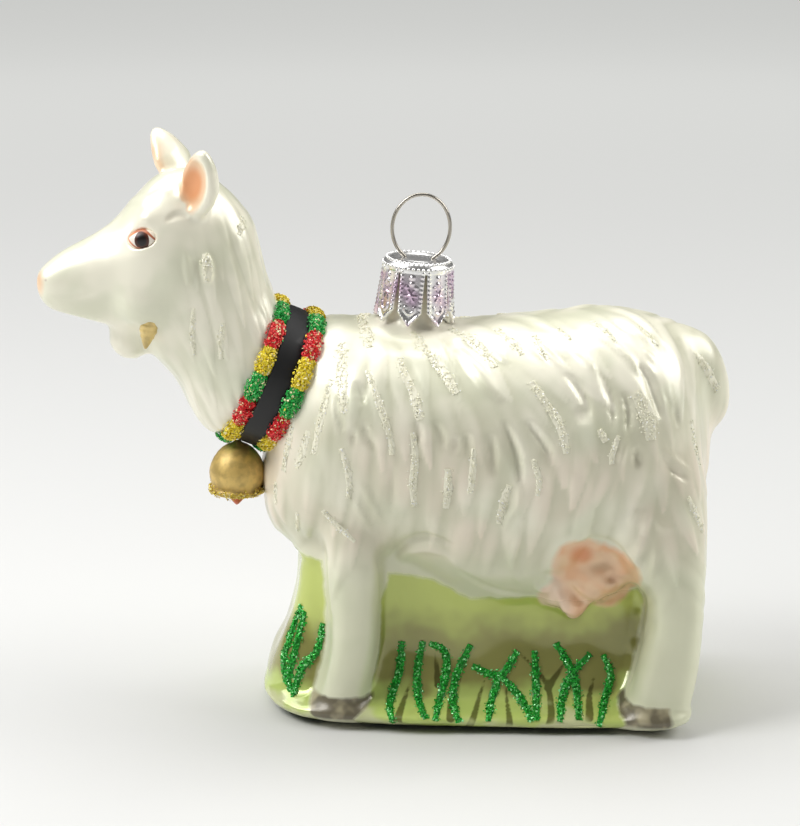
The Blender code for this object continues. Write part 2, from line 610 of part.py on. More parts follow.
def petal_slits():
    """Cutters between the cap's petals: slits that open into notches, so each petal ends in a point."""
    rim = CAP_TOP - CAP_HEIGHT
    tip = math.pi * CAP_RADIUS_RIM / PETALS - 0.2
    half = [(0.2, CAP_TOP - 1.7), (0.5, rim + PETAL_TIP), (tip, rim), (tip, rim - 1.0)]
    outline = half + [(-u, z) for u, z in half[::-1]]
    mesh = bmesh.new()
    for petal in range(PETALS):
        turn = Matrix.Rotation(math.tau * (petal + 0.5) / PETALS + CAP_TURN, 4, "Z")
        near, far = ([mesh.verts.new(turn @ Vector((r, u * r / CAP_RADIUS_RIM, z))) for u, z in outline]
                     for r in (PIKE_RADIUS, CAP_RADIUS_RIM + 1.5))
        mesh.faces.new(near)
        mesh.faces.new(far[::-1])
        for k in range(len(outline)):
            mesh.faces.new((near[k - 1], far[k - 1], far[k], near[k]))
    mesh.transform(pike_place())
    return as_object("slits", mesh)


def cap():
    """The crown cap: a thin metal cup of pointed petals, with a hole for each leg of the wire."""
    rim = CAP_TOP - CAP_HEIGHT
    outside = ((CAP_RADIUS_TOP - 0.8, CAP_TOP), (CAP_RADIUS_TOP, CAP_TOP - 0.5), (CAP_RADIUS_RIM, rim))
    inside = ((CAP_RADIUS_RIM - CAP_WALL, rim), (CAP_RADIUS_TOP - CAP_WALL, CAP_TOP - 1.0))
    shape = turned("cap", outside + inside, pike_place(), sides=32)
    boolean(shape, "DIFFERENCE", petal_slits())
    return boolean(shape, "DIFFERENCE", wire("legs", GAP))


WHITE, GREEN, PEACH = (0.9, 0.88, 0.8), (0.42, 0.52, 0.2), (0.85, 0.52, 0.4)
BLACK, GOLD, HOOF, COPPER = (0.02, 0.02, 0.025), (0.62, 0.45, 0.14), (0.2, 0.16, 0.15), (0.6, 0.22, 0.1)
SILVER, STEEL, BROWN, GLITTER = (0.82, 0.8, 0.84), (0.5, 0.5, 0.5), (0.05, 0.02, 0.01), (0.5, 0.1, 0.05)
FINISHES = {
    "hoof": (HOOF, 0.25, 0.0, 0.8), "eye": (BROWN, 0.12, 0.0, 1.0), "ear": (PEACH, 0.25, 0.0, 0.6),
    "udder": (PEACH, 0.2, 0.0, 0.8), "grass": (GREEN, 0.15, 0.0, 1.0), "wattle": (GOLD, 0.3, 0.8, 0.3),
    "bell_clapper": (COPPER, 0.3, 0.8, 0.2), "bell": (GOLD, 0.3, 0.8, 0.2), "cap": (SILVER, 0.2, 1.0, 0.0),
    "hanging": (STEEL, 0.2, 1.0, 0.0), "collar_band": (BLACK, 0.35, 0.0, 0.3),
    "collar_trim": (GLITTER, 0.4, 0.6, 0.0), "": (WHITE, 0.18, 0.0, 1.0)}


def finish_of(name):
    """The first finish whose word is in the node's name."""
    return next(finish for word, finish in FINISHES.items() if word in name)


def to_metres(nodes):
    """Centres the nodes over the origin and scales them to their real length, under one empty."""
    root = bpy.data.objects.new("ornament", None)
    bpy.context.collection.objects.link(root)
    points = [vertex.co for node in nodes for vertex in node.data.vertices]
    low, high = (Vector(edge(point[axis] for point in points) for axis in range(3)) for edge in (min, max))
    middle = Vector(((low.x + high.x) / 2, (low.y + high.y) / 2, 0.0))
    place = Matrix.Scale(BODY_LENGTH / (high.x - low.x), 4) @ Matrix.Translation(-middle)
    for node in nodes:
        node.data.transform(place)
        node.parent = root


def main():
    """Builds the ornament."""
    for item in list(bpy.data.objects):
        bpy.data.objects.remove(item)
    body = glass_body()
    tree = BVHTree.FromPolygons([vertex.co for vertex in body.data.vertices],
                                [face.vertices for face in body.data.polygons])
    around = thin_out(swollen(body, "around", GAP), 8000)
    nodes = part_glass(body)
    for name, node in nodes.items():
        thin_out(node, TRIANGLES[name.removesuffix("_left").removesuffix("_right")])
        if name == "grass_bank" or "hoof" in name:
            boolean(node, "INTERSECT", block("above_ground", (Vector(), Vector((0, 0, 1)))))
    bore_pike(nodes["trunk"])
    nodes.update(set_eyes(nodes["head"]))
    nodes.update({name: ear(name, around) for name in EARS})
    for side, word in SIDES:
        nodes[f"wattle_{word}"] = wattle(side, word, around)
    for name in ("trunk", "neck"):
        for ring in collar(tree, RING_CLEARANCE).values():
            boolean(nodes[name], "DIFFERENCE", ring)
        largest_piece(nodes[name])
    nodes.update(collar(tree))
    nodes.update(bell(around, tree))
    nodes["cap"] = cap()
    nodes["hanging_loop"] = wire("hanging_loop")
    discard(around)
    for name, node in nodes.items():
        paint(node, *finish_of(name))
    to_metres(list(nodes.values()))


main()
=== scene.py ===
"""Looks of a mouth-blown glass ornament: a white nanny goat with collar and bell on a green bank.

All sizes are millimetres in the ornament's own layout, as in its CAD source: the goat faces -X, its left
side is -Y and up is +Z. Each piece is moved into the frame's metres once it is finished.
"""

import logging
import math
from dataclasses import dataclass, field
from enum import Enum

import bmesh
import bpy
import numpy as np
from bpy.types import Material, Node, NodeSocket, NodeTree, Object
from mathutils import Matrix, Vector
from mathutils.bvhtree import BVHTree


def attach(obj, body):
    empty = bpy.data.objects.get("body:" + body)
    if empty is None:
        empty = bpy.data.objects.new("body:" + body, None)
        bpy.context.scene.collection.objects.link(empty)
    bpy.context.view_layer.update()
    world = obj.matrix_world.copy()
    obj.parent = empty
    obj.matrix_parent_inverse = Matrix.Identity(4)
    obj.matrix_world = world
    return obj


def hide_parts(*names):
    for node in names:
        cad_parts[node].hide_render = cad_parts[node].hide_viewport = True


LOG = logging.getLogger("ornament")
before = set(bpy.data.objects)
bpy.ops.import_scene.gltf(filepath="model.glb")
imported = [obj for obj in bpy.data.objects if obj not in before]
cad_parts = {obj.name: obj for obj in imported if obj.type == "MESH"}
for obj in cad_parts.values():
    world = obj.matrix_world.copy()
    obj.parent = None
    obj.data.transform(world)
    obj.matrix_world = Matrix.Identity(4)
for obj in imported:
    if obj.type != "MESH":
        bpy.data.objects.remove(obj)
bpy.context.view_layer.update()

MM = 0.001
LAYOUT_SHIFT = Vector((-0.726, -0.01, 0.0))     # from the CAD layout to the centred frame
SIGHT_TILT = math.radians(15.0)                 # of the sight lines that lay out the painted lines
SIGHT_HEIGHT = 49.3                             # where sight heights are real heights on the middle plane
FOLLOW = 0.6                                    # how far a vertex follows its neighbours in a smoothing

HEAD_PIVOT = Vector((-14.0, 0.0, 56.0))
HEAD_YAW, HEAD_PITCH = math.radians(8.0), math.radians(1.5)
COLLAR_POINT, COLLAR_AHEAD = Vector((-18.5, 0.0, 56.6)), Vector((-0.926, 0.0, 0.377))
PIKE_AXIS = (Vector((4.5, 0.0, 60.0)), math.radians(4.5))


class Side(Enum):
    """The goat's two sides, as the sign of Y."""

    LEFT = -1
    RIGHT = 1

    @property
    def word(self) -> str:
        """The side's name in the names of nodes and pieces."""
        return self.name.lower()


class Slot(Enum):
    """The record's material slots, by name."""

    PEARL = "pearl_white"
    GOLD = "gold_lacquer"
    COPPER = "copper_lacquer"
    RIBBON = "black_ribbon"
    GLITTER = "glitter"
    EYE = "eye_lacquer"
    CAP = "silver_cap"
    WIRE = "spring_wire"


# ---- numbers and small shapes


def smoothstep(value: np.ndarray, low: float, high: float) -> np.ndarray:
    """Rises smoothly from 0 at low to 1 at high, which may lie below low."""
    t = np.clip((np.asarray(value, float) - low) / (high - low), 0.0, 1.0)
    return t * t * (3.0 - 2.0 * t)


def unit(rows: np.ndarray) -> np.ndarray:
    """Scales each row to length 1."""
    return rows / np.maximum(np.linalg.norm(rows, axis=-1, keepdims=True), 1e-9)


def head_turn() -> Matrix:
    """The turn that the head has against the body, in the layout."""
    turn = Matrix.Rotation(HEAD_YAW, 4, "Z") @ Matrix.Rotation(HEAD_PITCH, 4, "Y")
    return Matrix.Translation(HEAD_PIVOT) @ turn @ Matrix.Translation(-HEAD_PIVOT)


def pike_place() -> Matrix:
    """The matrix of the cap's axis, which leans back a little."""
    foot, lean = PIKE_AXIS
    return Matrix.Translation(foot) @ Matrix.Rotation(lean, 4, "Y") @ Matrix.Translation((0, 0, -foot.z))


def neck_way() -> np.ndarray:
    """The way that the neck runs through the collar, after the head's turn."""
    return np.array((head_turn().to_3x3() @ COLLAR_AHEAD).normalized())


def select_only(*objects: Object) -> None:
    """Selects these objects alone and makes the first one active.

    Args:
        *objects: What to select.
    """
    bpy.ops.object.select_all(action="DESELECT")
    for item in objects:
        item.select_set(True)
    bpy.context.view_layer.objects.active = objects[0]


def joined(parts: list, name: str) -> Object:
    """Joins mesh objects into one.

    Args:
        parts: The objects.
        name: The name of the whole.

    Returns:
        The whole.
    """
    select_only(*parts)
    bpy.ops.object.join()
    whole = bpy.context.view_layer.objects.active
    whole.name = name
    return whole


def apply_modifier(target: Object, kind: str, **settings: object) -> None:
    """Adds a modifier and applies it.

    Args:
        target: The mesh object.
        kind: The modifier's type.
        **settings: The modifier's own settings.
    """
    modifier = target.modifiers.new(kind.title(), kind)
    for key, value in settings.items():
        setattr(modifier, key, value)
    select_only(target)
    bpy.ops.object.modifier_apply(modifier=modifier.name)


def moved(points: np.ndarray, place: Matrix) -> np.ndarray:
    """Carries points, one per row, by a matrix."""
    return points @ np.array(place.to_3x3()).T + np.array(place.translation)


def mesh_object(name: str, points: np.ndarray, faces: list) -> Object:
    """Makes an object from points and faces.

    Args:
        name: The object's name.
        points: One row per vertex.
        faces: Vertex indices of each face.

    Returns:
        The new object, in the scene.
    """
    mesh = bpy.data.meshes.new(name)
    mesh.from_pydata(np.asarray(points, float).tolist(), [], [tuple(map(int, face)) for face in faces])
    mesh.validate()
    result = bpy.data.objects.new(name, mesh)
    bpy.context.scene.collection.objects.link(result)
    return result


def face_outward(target: Object) -> None:
    """Turns all faces of a mesh outward.

    Args:
        target: The mesh object.
    """
    mesh = bmesh.new()
    mesh.from_mesh(target.data)
    bmesh.ops.recalc_face_normals(mesh, faces=mesh.faces)
    mesh.to_mesh(target.data)
    mesh.free()


def wall_faces(rows: int, sides: int, closed: bool = False) -> list:
    """The faces between rings of points that follow one another.

    Args:
        rows: How many rings there are.
        sides: How many points each ring has.
        closed: Whether the last ring joins the first.

    Returns:
        The faces.
    """
    faces = []
    for row in range(rows if closed else rows - 1):
        near, far = row * sides, (row + 1) % rows * sides
        for k in range(sides):
            after = (k + 1) % sides
            faces.append((near + k, near + after, far + after, far + k))
    return faces


def tube_faces(rows: int, sides: int) -> list:
    """The faces of a tube whose two end points follow its rings.

    Args:
        rows: How many rings there are.
        sides: How many points each ring has.

    Returns:
        The faces.
    """
    faces, last = wall_faces(rows, sides), rows * sides
    for k in range(sides):
        after = (k + 1) % sides
        faces += [(last, after, k), (last + 1, last - sides + k, last - sides + after)]
    return faces


def lathe(name: str, profile: list, sides: int = 48, place: Matrix = Matrix()) -> Object:
    """Turns a profile about the Z axis; both its ends lie on the axis.

    Args:
        name: The object's name.
        profile: Rows of (radius, height) from one end to the other.
        sides: How many faces go round.
        place: Where the body goes.

    Returns:
        The closed body.
    """
    rows = [row for row in profile if row[0] > 1e-4]
    angles = np.linspace(0.0, math.tau, sides, endpoint=False)
    points = [(r * math.cos(a), r * math.sin(a), z) for r, z in rows for a in angles]
    points += [(0.0, 0.0, profile[0][1]), (0.0, 0.0, profile[-1][1])]
    result = mesh_object(name, points, tube_faces(len(rows), sides))
    result.data.transform(place)
    face_outward(result)
    return result


def curved(points: list, step: float) -> np.ndarray:
    """A smooth line through a few points.

    Args:
        points: The points to go through, of any dimension.
        step: About how far apart the result's points lie.

    Returns:
        The line's points, one per row.
    """
    knots = np.asarray(points, float)
    if len(knots) == 2:
        knots = np.stack([knots[0], knots.mean(0), knots[1]])
    padded = np.vstack([2 * knots[0] - knots[1], knots, 2 * knots[-1] - knots[-2]])
    rows = []
    for k in range(1, len(padded) - 2):
        a, b, c, d = padded[k - 1:k + 3]
        count = max(int(np.linalg.norm(c - b) / step), 1)
        for t in np.arange(count) / count:
            rows.append(b + 0.5 * ((c - a) * t + (2 * a - 5 * b + 4 * c - d) * t ** 2
                                   + (3 * b - a - 3 * c + d) * t ** 3))
    return np.array(rows + [padded[-2]])


def sweep(name: str, line: np.ndarray, radii: np.ndarray, sides: int = 8,
          flat: np.ndarray | None = None, height: float = 1.0) -> Object:
    """Sweeps a round or flattened section along a line, closed at both ends.

    Args:
        name: The object's name.
        line: The line's points.
        radii: The half width at each point.
        sides: How many faces go round.
        flat: The direction in which the section is flattened at each point.
        height: The section's height against its width.

    Returns:
        The closed body.
    """
    line = np.asarray(line, float)
    ahead = unit(np.gradient(line, axis=0))
    if flat is None:
        flat = np.tile((0.0, 1.0, 0.0), (len(line), 1))
    across = unit(np.cross(ahead, flat))
    rise = unit(np.cross(across, ahead))
    angles = np.linspace(0.0, math.tau, sides, endpoint=False)
    ring = (across[:, None] * np.cos(angles)[None, :, None]
            + rise[:, None] * (height * np.sin(angles))[None, :, None])
    points = (line[:, None] + ring * np.asarray(radii)[:, None, None]).reshape(-1, 3)
    points = np.vstack([points, line[0], line[-1]])
    result = mesh_object(name, points, tube_faces(len(line), sides))
    face_outward(result)
    return result


def set_attribute(target: Object, name: str, values: np.ndarray) -> None:
    """Stores one number per vertex of a mesh object."""
    attribute = target.data.attributes.new(name, "FLOAT", "POINT")
    attribute.data.foreach_set("value", np.asarray(values, np.float32))


def read_points(target: Object) -> np.ndarray:
    """Reads the vertices of a mesh.

    Args:
        target: The mesh object.

    Returns:
        One row per vertex.
    """
    points = np.empty(len(target.data.vertices) * 3, np.float32)
    target.data.vertices.foreach_get("co", points)
    return points.reshape(-1, 3).astype(float)


def write_points(target: Object, points: np.ndarray) -> None:
    """Moves the vertices of a mesh, one row per vertex."""
    target.data.vertices.foreach_set("co", np.asarray(points, np.float32).ravel())
    target.data.update()


def read_normals(target: Object) -> np.ndarray:
    """Reads the vertex normals of a mesh.

    Args:
        target: The mesh object.

    Returns:
        One unit row per vertex.
    """
    normals = np.empty(len(target.data.vertices) * 3, np.float32)
    target.data.vertex_normals.foreach_get("vector", normals)
    return normals.reshape(-1, 3).astype(float)


def hand_over(piece: Object, material: Material, replaced: tuple = (),
              sharp: float = 60.0) -> None:
    """Dresses a finished piece, moves it into the frame and tells the frame what it is.

    Args:
        piece: The finished object, in the layout's millimetres.
        material: Its material.
        replaced: The CAD nodes that it stands for.
        sharp: The angle in degrees above which edges stay sharp.
    """
    piece.data.materials.append(material)
    piece.data.transform(Matrix.Scale(MM, 4) @ Matrix.Translation(LAYOUT_SHIFT))
    piece.data.update()
    select_only(piece)
    bpy.ops.object.shade_smooth_by_angle(angle=math.radians(sharp))
    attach(piece, "root")
    if replaced:
        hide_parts(*replaced)


# ---- surfaces


@dataclass
class Surface:
    """A closed surface that lines and flakes are laid on.

    Attributes:
        tree: The search tree of its faces.
    """

    tree: BVHTree

    @classmethod
    def of(cls, *objects: Object, scale: float = 1.0, shift: Vector = Vector()) -> "Surface":
        """Makes one surface of several meshes.

        Args:
            *objects: The mesh objects.
            scale: The size of the layout's millimetre in them.
            shift: Where the layout's origin lies in them, in millimetres.

        Returns:
            The surface, in the layout's millimetres.
        """
        points, faces, start = [], [], 0
        for item in objects:
            points += [vertex.co / scale - shift for vertex in item.data.vertices]
            faces += [[index + start for index in face.vertices] for face in item.data.polygons]
            start = len(points)
        return cls(BVHTree.FromPolygons(points, faces))

    @classmethod
    def of_node(cls, *names: str) -> "Surface":
        """Makes one surface of several CAD nodes."""
        return cls.of(*(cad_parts[name] for name in names), scale=MM, shift=LAYOUT_SHIFT)

    def distance(self, points: np.ndarray, limit: float = 12.0) -> np.ndarray:
        """How far points lie from the surface, up to a limit."""
        found = (self.tree.find_nearest(Vector(point), limit)[3] for point in points)
        return np.array([limit if reach is None else reach for reach in found])

    def seen(self, across: float, height: float, side: Side) -> tuple | None:
        """Where a sight line from one side meets the surface.

        Args:
            across: The line's X.
            height: Its height on the sight plane.
            side: The side that it comes from.

        Returns:
            The place and the outward normal, or None where it misses.
        """
        away = 90.0
        start_z = SIGHT_HEIGHT + (height - SIGHT_HEIGHT + away * math.sin(SIGHT_TILT)) / math.cos(SIGHT_TILT)
        start = Vector((across, side.value * away, start_z))
        way = Vector((0.0, -side.value * math.cos(SIGHT_TILT), -math.sin(SIGHT_TILT)))
        place, normal, _, _ = self.tree.ray_cast(start, way)
        if place is None:
            return None
        return np.array(place), np.array(normal)

    def laid(self, line: np.ndarray, side: Side) -> tuple:
        """Lays a drawn line on the surface.

        Args:
            line: Rows of (across, height) on the sight plane.
            side: The side that it is drawn from.

        Returns:
            The places and the normals, one row for each point that meets the surface.
        """
        found = [self.seen(across, height, side) for across, height in line]
        found = [item for item in found if item is not None]
        if len(found) < 2:
            return np.zeros((0, 3)), np.zeros((0, 3))
        places, normals = (np.array(part) for part in zip(*found))
        return places, normals


# ---- the moulded coat


@dataclass
class Lock:
    """One moulded lock of hair.

    Attributes:
        root: Its middle on the surface.
        ahead: The unit direction from its root to its tip.
        across: The unit direction over its width.
        length: Its half length.
        width: Its half width.
        height: How far its ridge stands out.
        curl: How far its tip swings to the side.
    """

    root: np.ndarray
    ahead: np.ndarray
    across: np.ndarray
    length: float
    width: float
    height: float
    curl: float

    def relief(self, points: np.ndarray) -> tuple:
        """How high the lock stands at some points.

        Args:
            points: The surface points near it.

        Returns:
            The heights, and the share of the way across it, from -1 to 1.
        """
        away = points - self.root
        along = away @ self.ahead / self.length
        side = away @ self.across - self.curl * (0.5 + 0.5 * along) ** 2
        share = np.clip(0.5 + 0.5 * along, 0.0, 1.0)
        width = self.width * (0.35 + 0.65 * smoothstep(share, 0.0, 0.4))
        width = width * (1 - smoothstep(share, 0.5, 1.02)) ** 0.6
        over = side / np.maximum(width, 1e-3)
        lean = np.clip(over - 0.28 * (1 - over ** 2), -1.0, 1.0)
        ridge = (1.0 - lean ** 2) ** 0.8
        rise = smoothstep(share, 0.0, 0.75) * (1.0 - smoothstep(share, 0.93, 1.0))
        inside = (np.abs(along) < 1) & (np.abs(over) < 1)
        return np.where(inside, self.height * ridge * rise, 0.0), over


@dataclass
class Coat:
    """A coat of shingled locks over part of a skin.

    Attributes:
        spread: Spacing of the locks across and along their flow.
        length: Shortest and longest half length.
        width: Shortest and longest half width.
        height: Lowest and highest ridge.
        seed: Seed of the random layout.
    """

    spread: tuple
    length: tuple
    width: tuple
    height: tuple
    seed: int
    locks: list = field(default_factory=list)

    def lay(self, points: np.ndarray, normals: np.ndarray, flow: np.ndarray, share: np.ndarray) -> None:
        """Lays the locks out over the skin.

        Args:
            points: The skin's vertices.
            normals: Their normals.
            flow: The hair's unit direction at each.
            share: How much coat each one carries, from 0 to 1.
        """
        rng = np.random.default_rng(self.seed)
        order = rng.permutation(np.nonzero(share > 0.35)[0])[:16000]
        roots, aheads = np.zeros((0, 3)), np.zeros((0, 3))
        for index in order:
            away = points[index] - roots
            if len(roots):
                along = np.sum(away * aheads, axis=1)
                side = np.linalg.norm(away - along[:, None] * aheads, axis=1)
                if np.any((side / self.spread[0]) ** 2 + (along / self.spread[1]) ** 2 < 1.0):
                    continue
            roots = np.vstack([roots, points[index]])
            aheads = np.vstack([aheads, flow[index]])
            across = np.cross(normals[index], flow[index])
            if across[0] < 0:
                across = -across
            size = share[index]
            self.locks.append(Lock(points[index], flow[index], across,
                                   rng.uniform(*self.length) * (0.6 + 0.4 * size),
                                   rng.uniform(*self.width), rng.uniform(*self.height) * size,
                                   rng.normal(0.0, 0.5)))
        LOG.info("coat of %d locks", len(self.locks))

    def relief(self, points: np.ndarray, normals: np.ndarray) -> tuple:
        """The coat's height over the skin.

        Args:
            points: The skin's vertices.
            normals: Their normals.

        Returns:
            The heights, and the way across the top lock at each vertex.
        """
        heights, over = np.zeros(len(points)), np.zeros(len(points))
        cell = 6.0
        keys = np.floor(points / cell).astype(int)
        order = np.lexsort((keys[:, 2], keys[:, 1], keys[:, 0]))
        buckets: dict = {}
        edges = np.nonzero(np.any(np.diff(keys[order], axis=0) != 0, axis=1))[0] + 1
        for block in np.split(order, edges):
            buckets[tuple(keys[block[0]])] = block
        for lock in self.locks:
            reach = lock.length + 1.0
            low = np.floor((lock.root - reach) / cell).astype(int)
            high = np.floor((lock.root + reach) / cell).astype(int)
            near = [buckets[key] for key in np.ndindex(*(high - low + 1))
                    for key in [tuple(low + np.array(key))] if key in buckets]
            near, upward = np.concatenate(near), np.cross(lock.ahead, lock.across)
            near = near[np.abs(normals[near] @ upward) > 0.25]
            near = near[np.abs((points[near] - lock.root) @ upward) < 0.45 * lock.length + 0.8]
            tall, wide = lock.relief(points[near])
            better = tall > heights[near]
            heights[near[better]] = tall[better]
            over[near[better]] = wide[better]
        return heights, over


@dataclass(frozen=True)
class Ridge:
    """A raised or sunk line on a skin.

    Attributes:
        line: Its points, as (across, height) on the sight plane.
        width: Its half width.
        height: How far it stands out; below 0 it is a groove.
        sides: The sides that it is on.
        taper: How far it narrows toward its ends, from 0 to 1.
    """

    line: tuple
    width: float
    height: float
    sides: tuple = (Side.LEFT, Side.RIGHT)
    taper: float = 0.7

    def relief(self, points: np.ndarray, surface: Surface) -> np.ndarray:
        """How far the ridge lifts each vertex.

        Args:
            points: The skin's vertices.
            surface: The skin that it is drawn on.

        Returns:
            The heights.
        """
        result = np.zeros(len(points))
        for side in self.sides:
            places, _ = surface.laid(curved(list(self.line), 0.4), side)
            if not len(places):
                continue
            low, high = places.min(0) - self.width, places.max(0) + self.width
            near = np.nonzero(np.all((points > low) & (points < high), axis=1))[0]
            if not len(near):
                continue
            reach = np.linalg.norm(points[near][:, None] - places[None], axis=2)
            best = reach.argmin(1)
            share = best / max(len(places) - 1, 1)
            width = self.width * (1.0 - self.taper * np.abs(2.0 * share - 1.0) ** 2)
            over = np.clip(1.0 - (reach.min(1) / width) ** 2, 0.0, 1.0) ** 1.5
            result[near] += self.height * over * (1.0 - np.abs(2.0 * share - 1.0) ** 3)
        return result


def waves(points: np.ndarray, size: float, seed: int, count: int = 12) -> np.ndarray:
    """Smooth random swells through space.

    Args:
        points: Where to measure.
        size: About how long one swell is.
        seed: Seed of the random directions.
        count: How many swells are mixed.

    Returns:
        Values from about -1 to 1.
    """
    rng = np.random.default_rng(seed)
    total = np.zeros(len(points))
    for _ in range(count):
        way = rng.normal(size=3)
        way *= rng.uniform(0.6, 1.4) * math.tau / (size * np.linalg.norm(way))
        total += np.sin(points @ way + rng.uniform(0.0, math.tau))
    return total / math.sqrt(count)


# ---- skins


@dataclass
class Skin:
    """One continuous surface over several nodes of the glass.

    Attributes:
        name: The piece's name.
        nodes: The CAD nodes that it stands for.
        voxel: Size of its faces.
        swell: How far the nodes are grown to close the cuts between them.
    """

    name: str
    nodes: tuple
    voxel: float
    swell: float = 0.5
    piece: Object | None = None

    def copies(self) -> list:
        """Makes grown copies of the nodes.

        Returns:
            The copies, in the layout's millimetres.
        """
        result = []
        for name in self.nodes:
            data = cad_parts[name].data.copy()
            copy = bpy.data.objects.new(f"{self.name}_{name}", data)
            bpy.context.scene.collection.objects.link(copy)
            data.transform(Matrix.Translation(-LAYOUT_SHIFT) @ Matrix.Scale(1.0 / MM, 4))
            mesh = bmesh.new()
            mesh.from_mesh(data)
            bmesh.ops.remove_doubles(mesh, verts=mesh.verts, dist=0.003)
            bmesh.ops.recalc_face_normals(mesh, faces=mesh.faces)
            mesh.normal_update()
            moves = [vertex.co + vertex.normal * self.swell for vertex in mesh.verts]
            for vertex, place in zip(mesh.verts, moves):
                vertex.co = place
            mesh.to_mesh(data)
            mesh.free()
            result.append(copy)
        return result

    def build(self) -> Object:
        """Joins the copies into one shell.

        Returns:
            The shell, back at the nodes' own size.
        """
        self.piece = joined(self.copies(), self.name)
        self.piece.data.name = self.name
        self.piece.data.materials.clear()
        apply_modifier(self.piece, "REMESH", mode="VOXEL", voxel_size=self.voxel, adaptivity=0.0)
        self.keep_shell()
        return self.piece

    def keep_shell(self) -> None:
        """Drops the bubbles that closed cuts leave inside the shell."""
        mesh = bmesh.new()
        mesh.from_mesh(self.piece.data)
        loose = set(mesh.verts)
        shells = []
        while loose:
            shell, front = set(), [loose.pop()]
            while front:
                vertex = front.pop()
                shell.add(vertex)
                for edge in vertex.link_edges:
                    other = edge.other_vert(vertex)
                    if other in loose:
                        loose.discard(other)
                        front.append(other)
            shells.append(shell)
        largest = max(shells, key=len)
        bmesh.ops.delete(mesh, geom=[v for v in mesh.verts if v not in largest], context="VERTS")
        mesh.to_mesh(self.piece.data)
        mesh.free()
        LOG.info("%s: %d shells, %d vertices kept", self.name, len(shells), len(largest))

    def links(self) -> np.ndarray:
        """The vertices that the shell's edges join.

        Returns:
            Two rows, with the first and the second end of each edge.
        """
        edges = np.empty(len(self.piece.data.edges) * 2, np.int32)
        self.piece.data.edges.foreach_get("vertices", edges)
        return edges.reshape(-1, 2).T

    def smooth(self, rounds: int, strength: np.ndarray | float = 1.0) -> None:
        """Evens the shell out.

        Args:
            rounds: How many times each vertex moves toward its neighbours.
            strength: How much each vertex follows, from 0 to 1.
        """
        one, two = self.links()
        points = read_points(self.piece)
        ends, others = np.concatenate([one, two]), np.concatenate([two, one])
        degree = np.maximum(np.bincount(ends, minlength=len(points)), 1)[:, None]
        weight = np.ones((len(points), 1)) * FOLLOW * np.reshape(strength, (-1, 1))
        for _ in range(rounds):
            mean = np.stack([np.bincount(ends, points[others, axis], len(points)) for axis in range(3)], 1)
            points += weight * (mean / degree - points)
        write_points(self.piece, points)

    def evened(self, values: np.ndarray, rounds: int) -> np.ndarray:
        """Evens out a value over the shell.

        Args:
            values: One number per vertex.
            rounds: How many times each one moves toward its neighbours' mean.

        Returns:
            The smoother values.
        """
        one, two = self.links()
        count = len(values)
        degree = np.bincount(one, minlength=count) + np.bincount(two, minlength=count)
        for _ in range(rounds):
            total = np.bincount(one, values[two], count) + np.bincount(two, values[one], count)
            values = (1.0 - FOLLOW) * values + FOLLOW * total / np.maximum(degree, 1)
        return values

    def store(self, values: dict) -> None:
        """Stores values per vertex for the finish, by name."""
        for name, rows in values.items():
            set_attribute(self.piece, name, rows)

    def lift(self, heights: np.ndarray) -> None:
        """Moves each vertex along its normal."""
        write_points(self.piece, read_points(self.piece) + read_normals(self.piece) * heights[:, None])


def laid_flat(raw: np.ndarray, normals: np.ndarray) -> np.ndarray:
    """Turns directions into the surface, at unit length."""
    return unit(raw - np.sum(raw * normals, axis=1, keepdims=True) * normals)


def body_flow(points: np.ndarray, normals: np.ndarray) -> np.ndarray:
    """The way that the hair lies on the body.

    Args:
        points: Places on the body.
        normals: Their normals.

    Returns:
        Unit directions along the surface.
    """
    x, y, z = points.T
    side = np.where(y < 0, -1.0, 1.0)
    around = np.arctan2(np.abs(y), z - 45.0)
    down = 20.0 * around
    upper = -0.2 + 1.0 * smoothstep(x, -10.0, 22.0) - 0.3 * smoothstep(x, 36.0, 50.0)
    lower = -0.08 - 0.14 * smoothstep(x, 26.0, 34.0) + 0.5 * smoothstep(x, 40.0, 50.0)
    blend = smoothstep(down, 17.0, 31.0)
    slope = upper * (1.0 - blend) + lower * blend
    raw = np.stack([slope, side * np.cos(around), -np.sin(around)], 1)
    ends = smoothstep(np.abs(normals[:, 0]), 0.55, 0.85)[:, None]
    raw = raw * (1.0 - ends) + np.array((0.0, 0.0, -1.0)) * ends
    return laid_flat(raw, normals)


def neck_flow(points: np.ndarray, normals: np.ndarray) -> np.ndarray:
    """The way that the hair lies on the neck, as unit directions along the surface."""
    raw = np.tile((0.22, 0.0, -1.0), (len(points), 1))
    return laid_flat(raw, normals)


HEAD_LINES = (
    # Drops that hang on the cheek behind the eye, and wrinkles at the foot of the ear.
    Ridge(((-31.4, 75.0), (-31.0, 72.4), (-30.9, 69.4)), 1.0, 0.42),
    Ridge(((-28.2, 74.8), (-27.9, 72.3), (-27.8, 69.6)), 1.3, 0.6),
    Ridge(((-34.5, 79.5), (-32.5, 80.6), (-30.6, 80.2)), 0.9, -0.3, (Side.LEFT,)),
    Ridge(((-37.6, 84.2), (-35.4, 85.4), (-33.4, 85.0)), 1.3, -0.18, (Side.LEFT,)),
    Ridge(((-42.8, 81.6), (-40.0, 83.6), (-36.8, 82.4)), 1.5, 0.22, (Side.LEFT,)),
    # The mouth.
    Ridge(((-53.6, 68.0), (-50.6, 67.7), (-47.4, 68.2), (-45.0, 69.3)), 0.6, -0.1, (Side.LEFT,)),
)

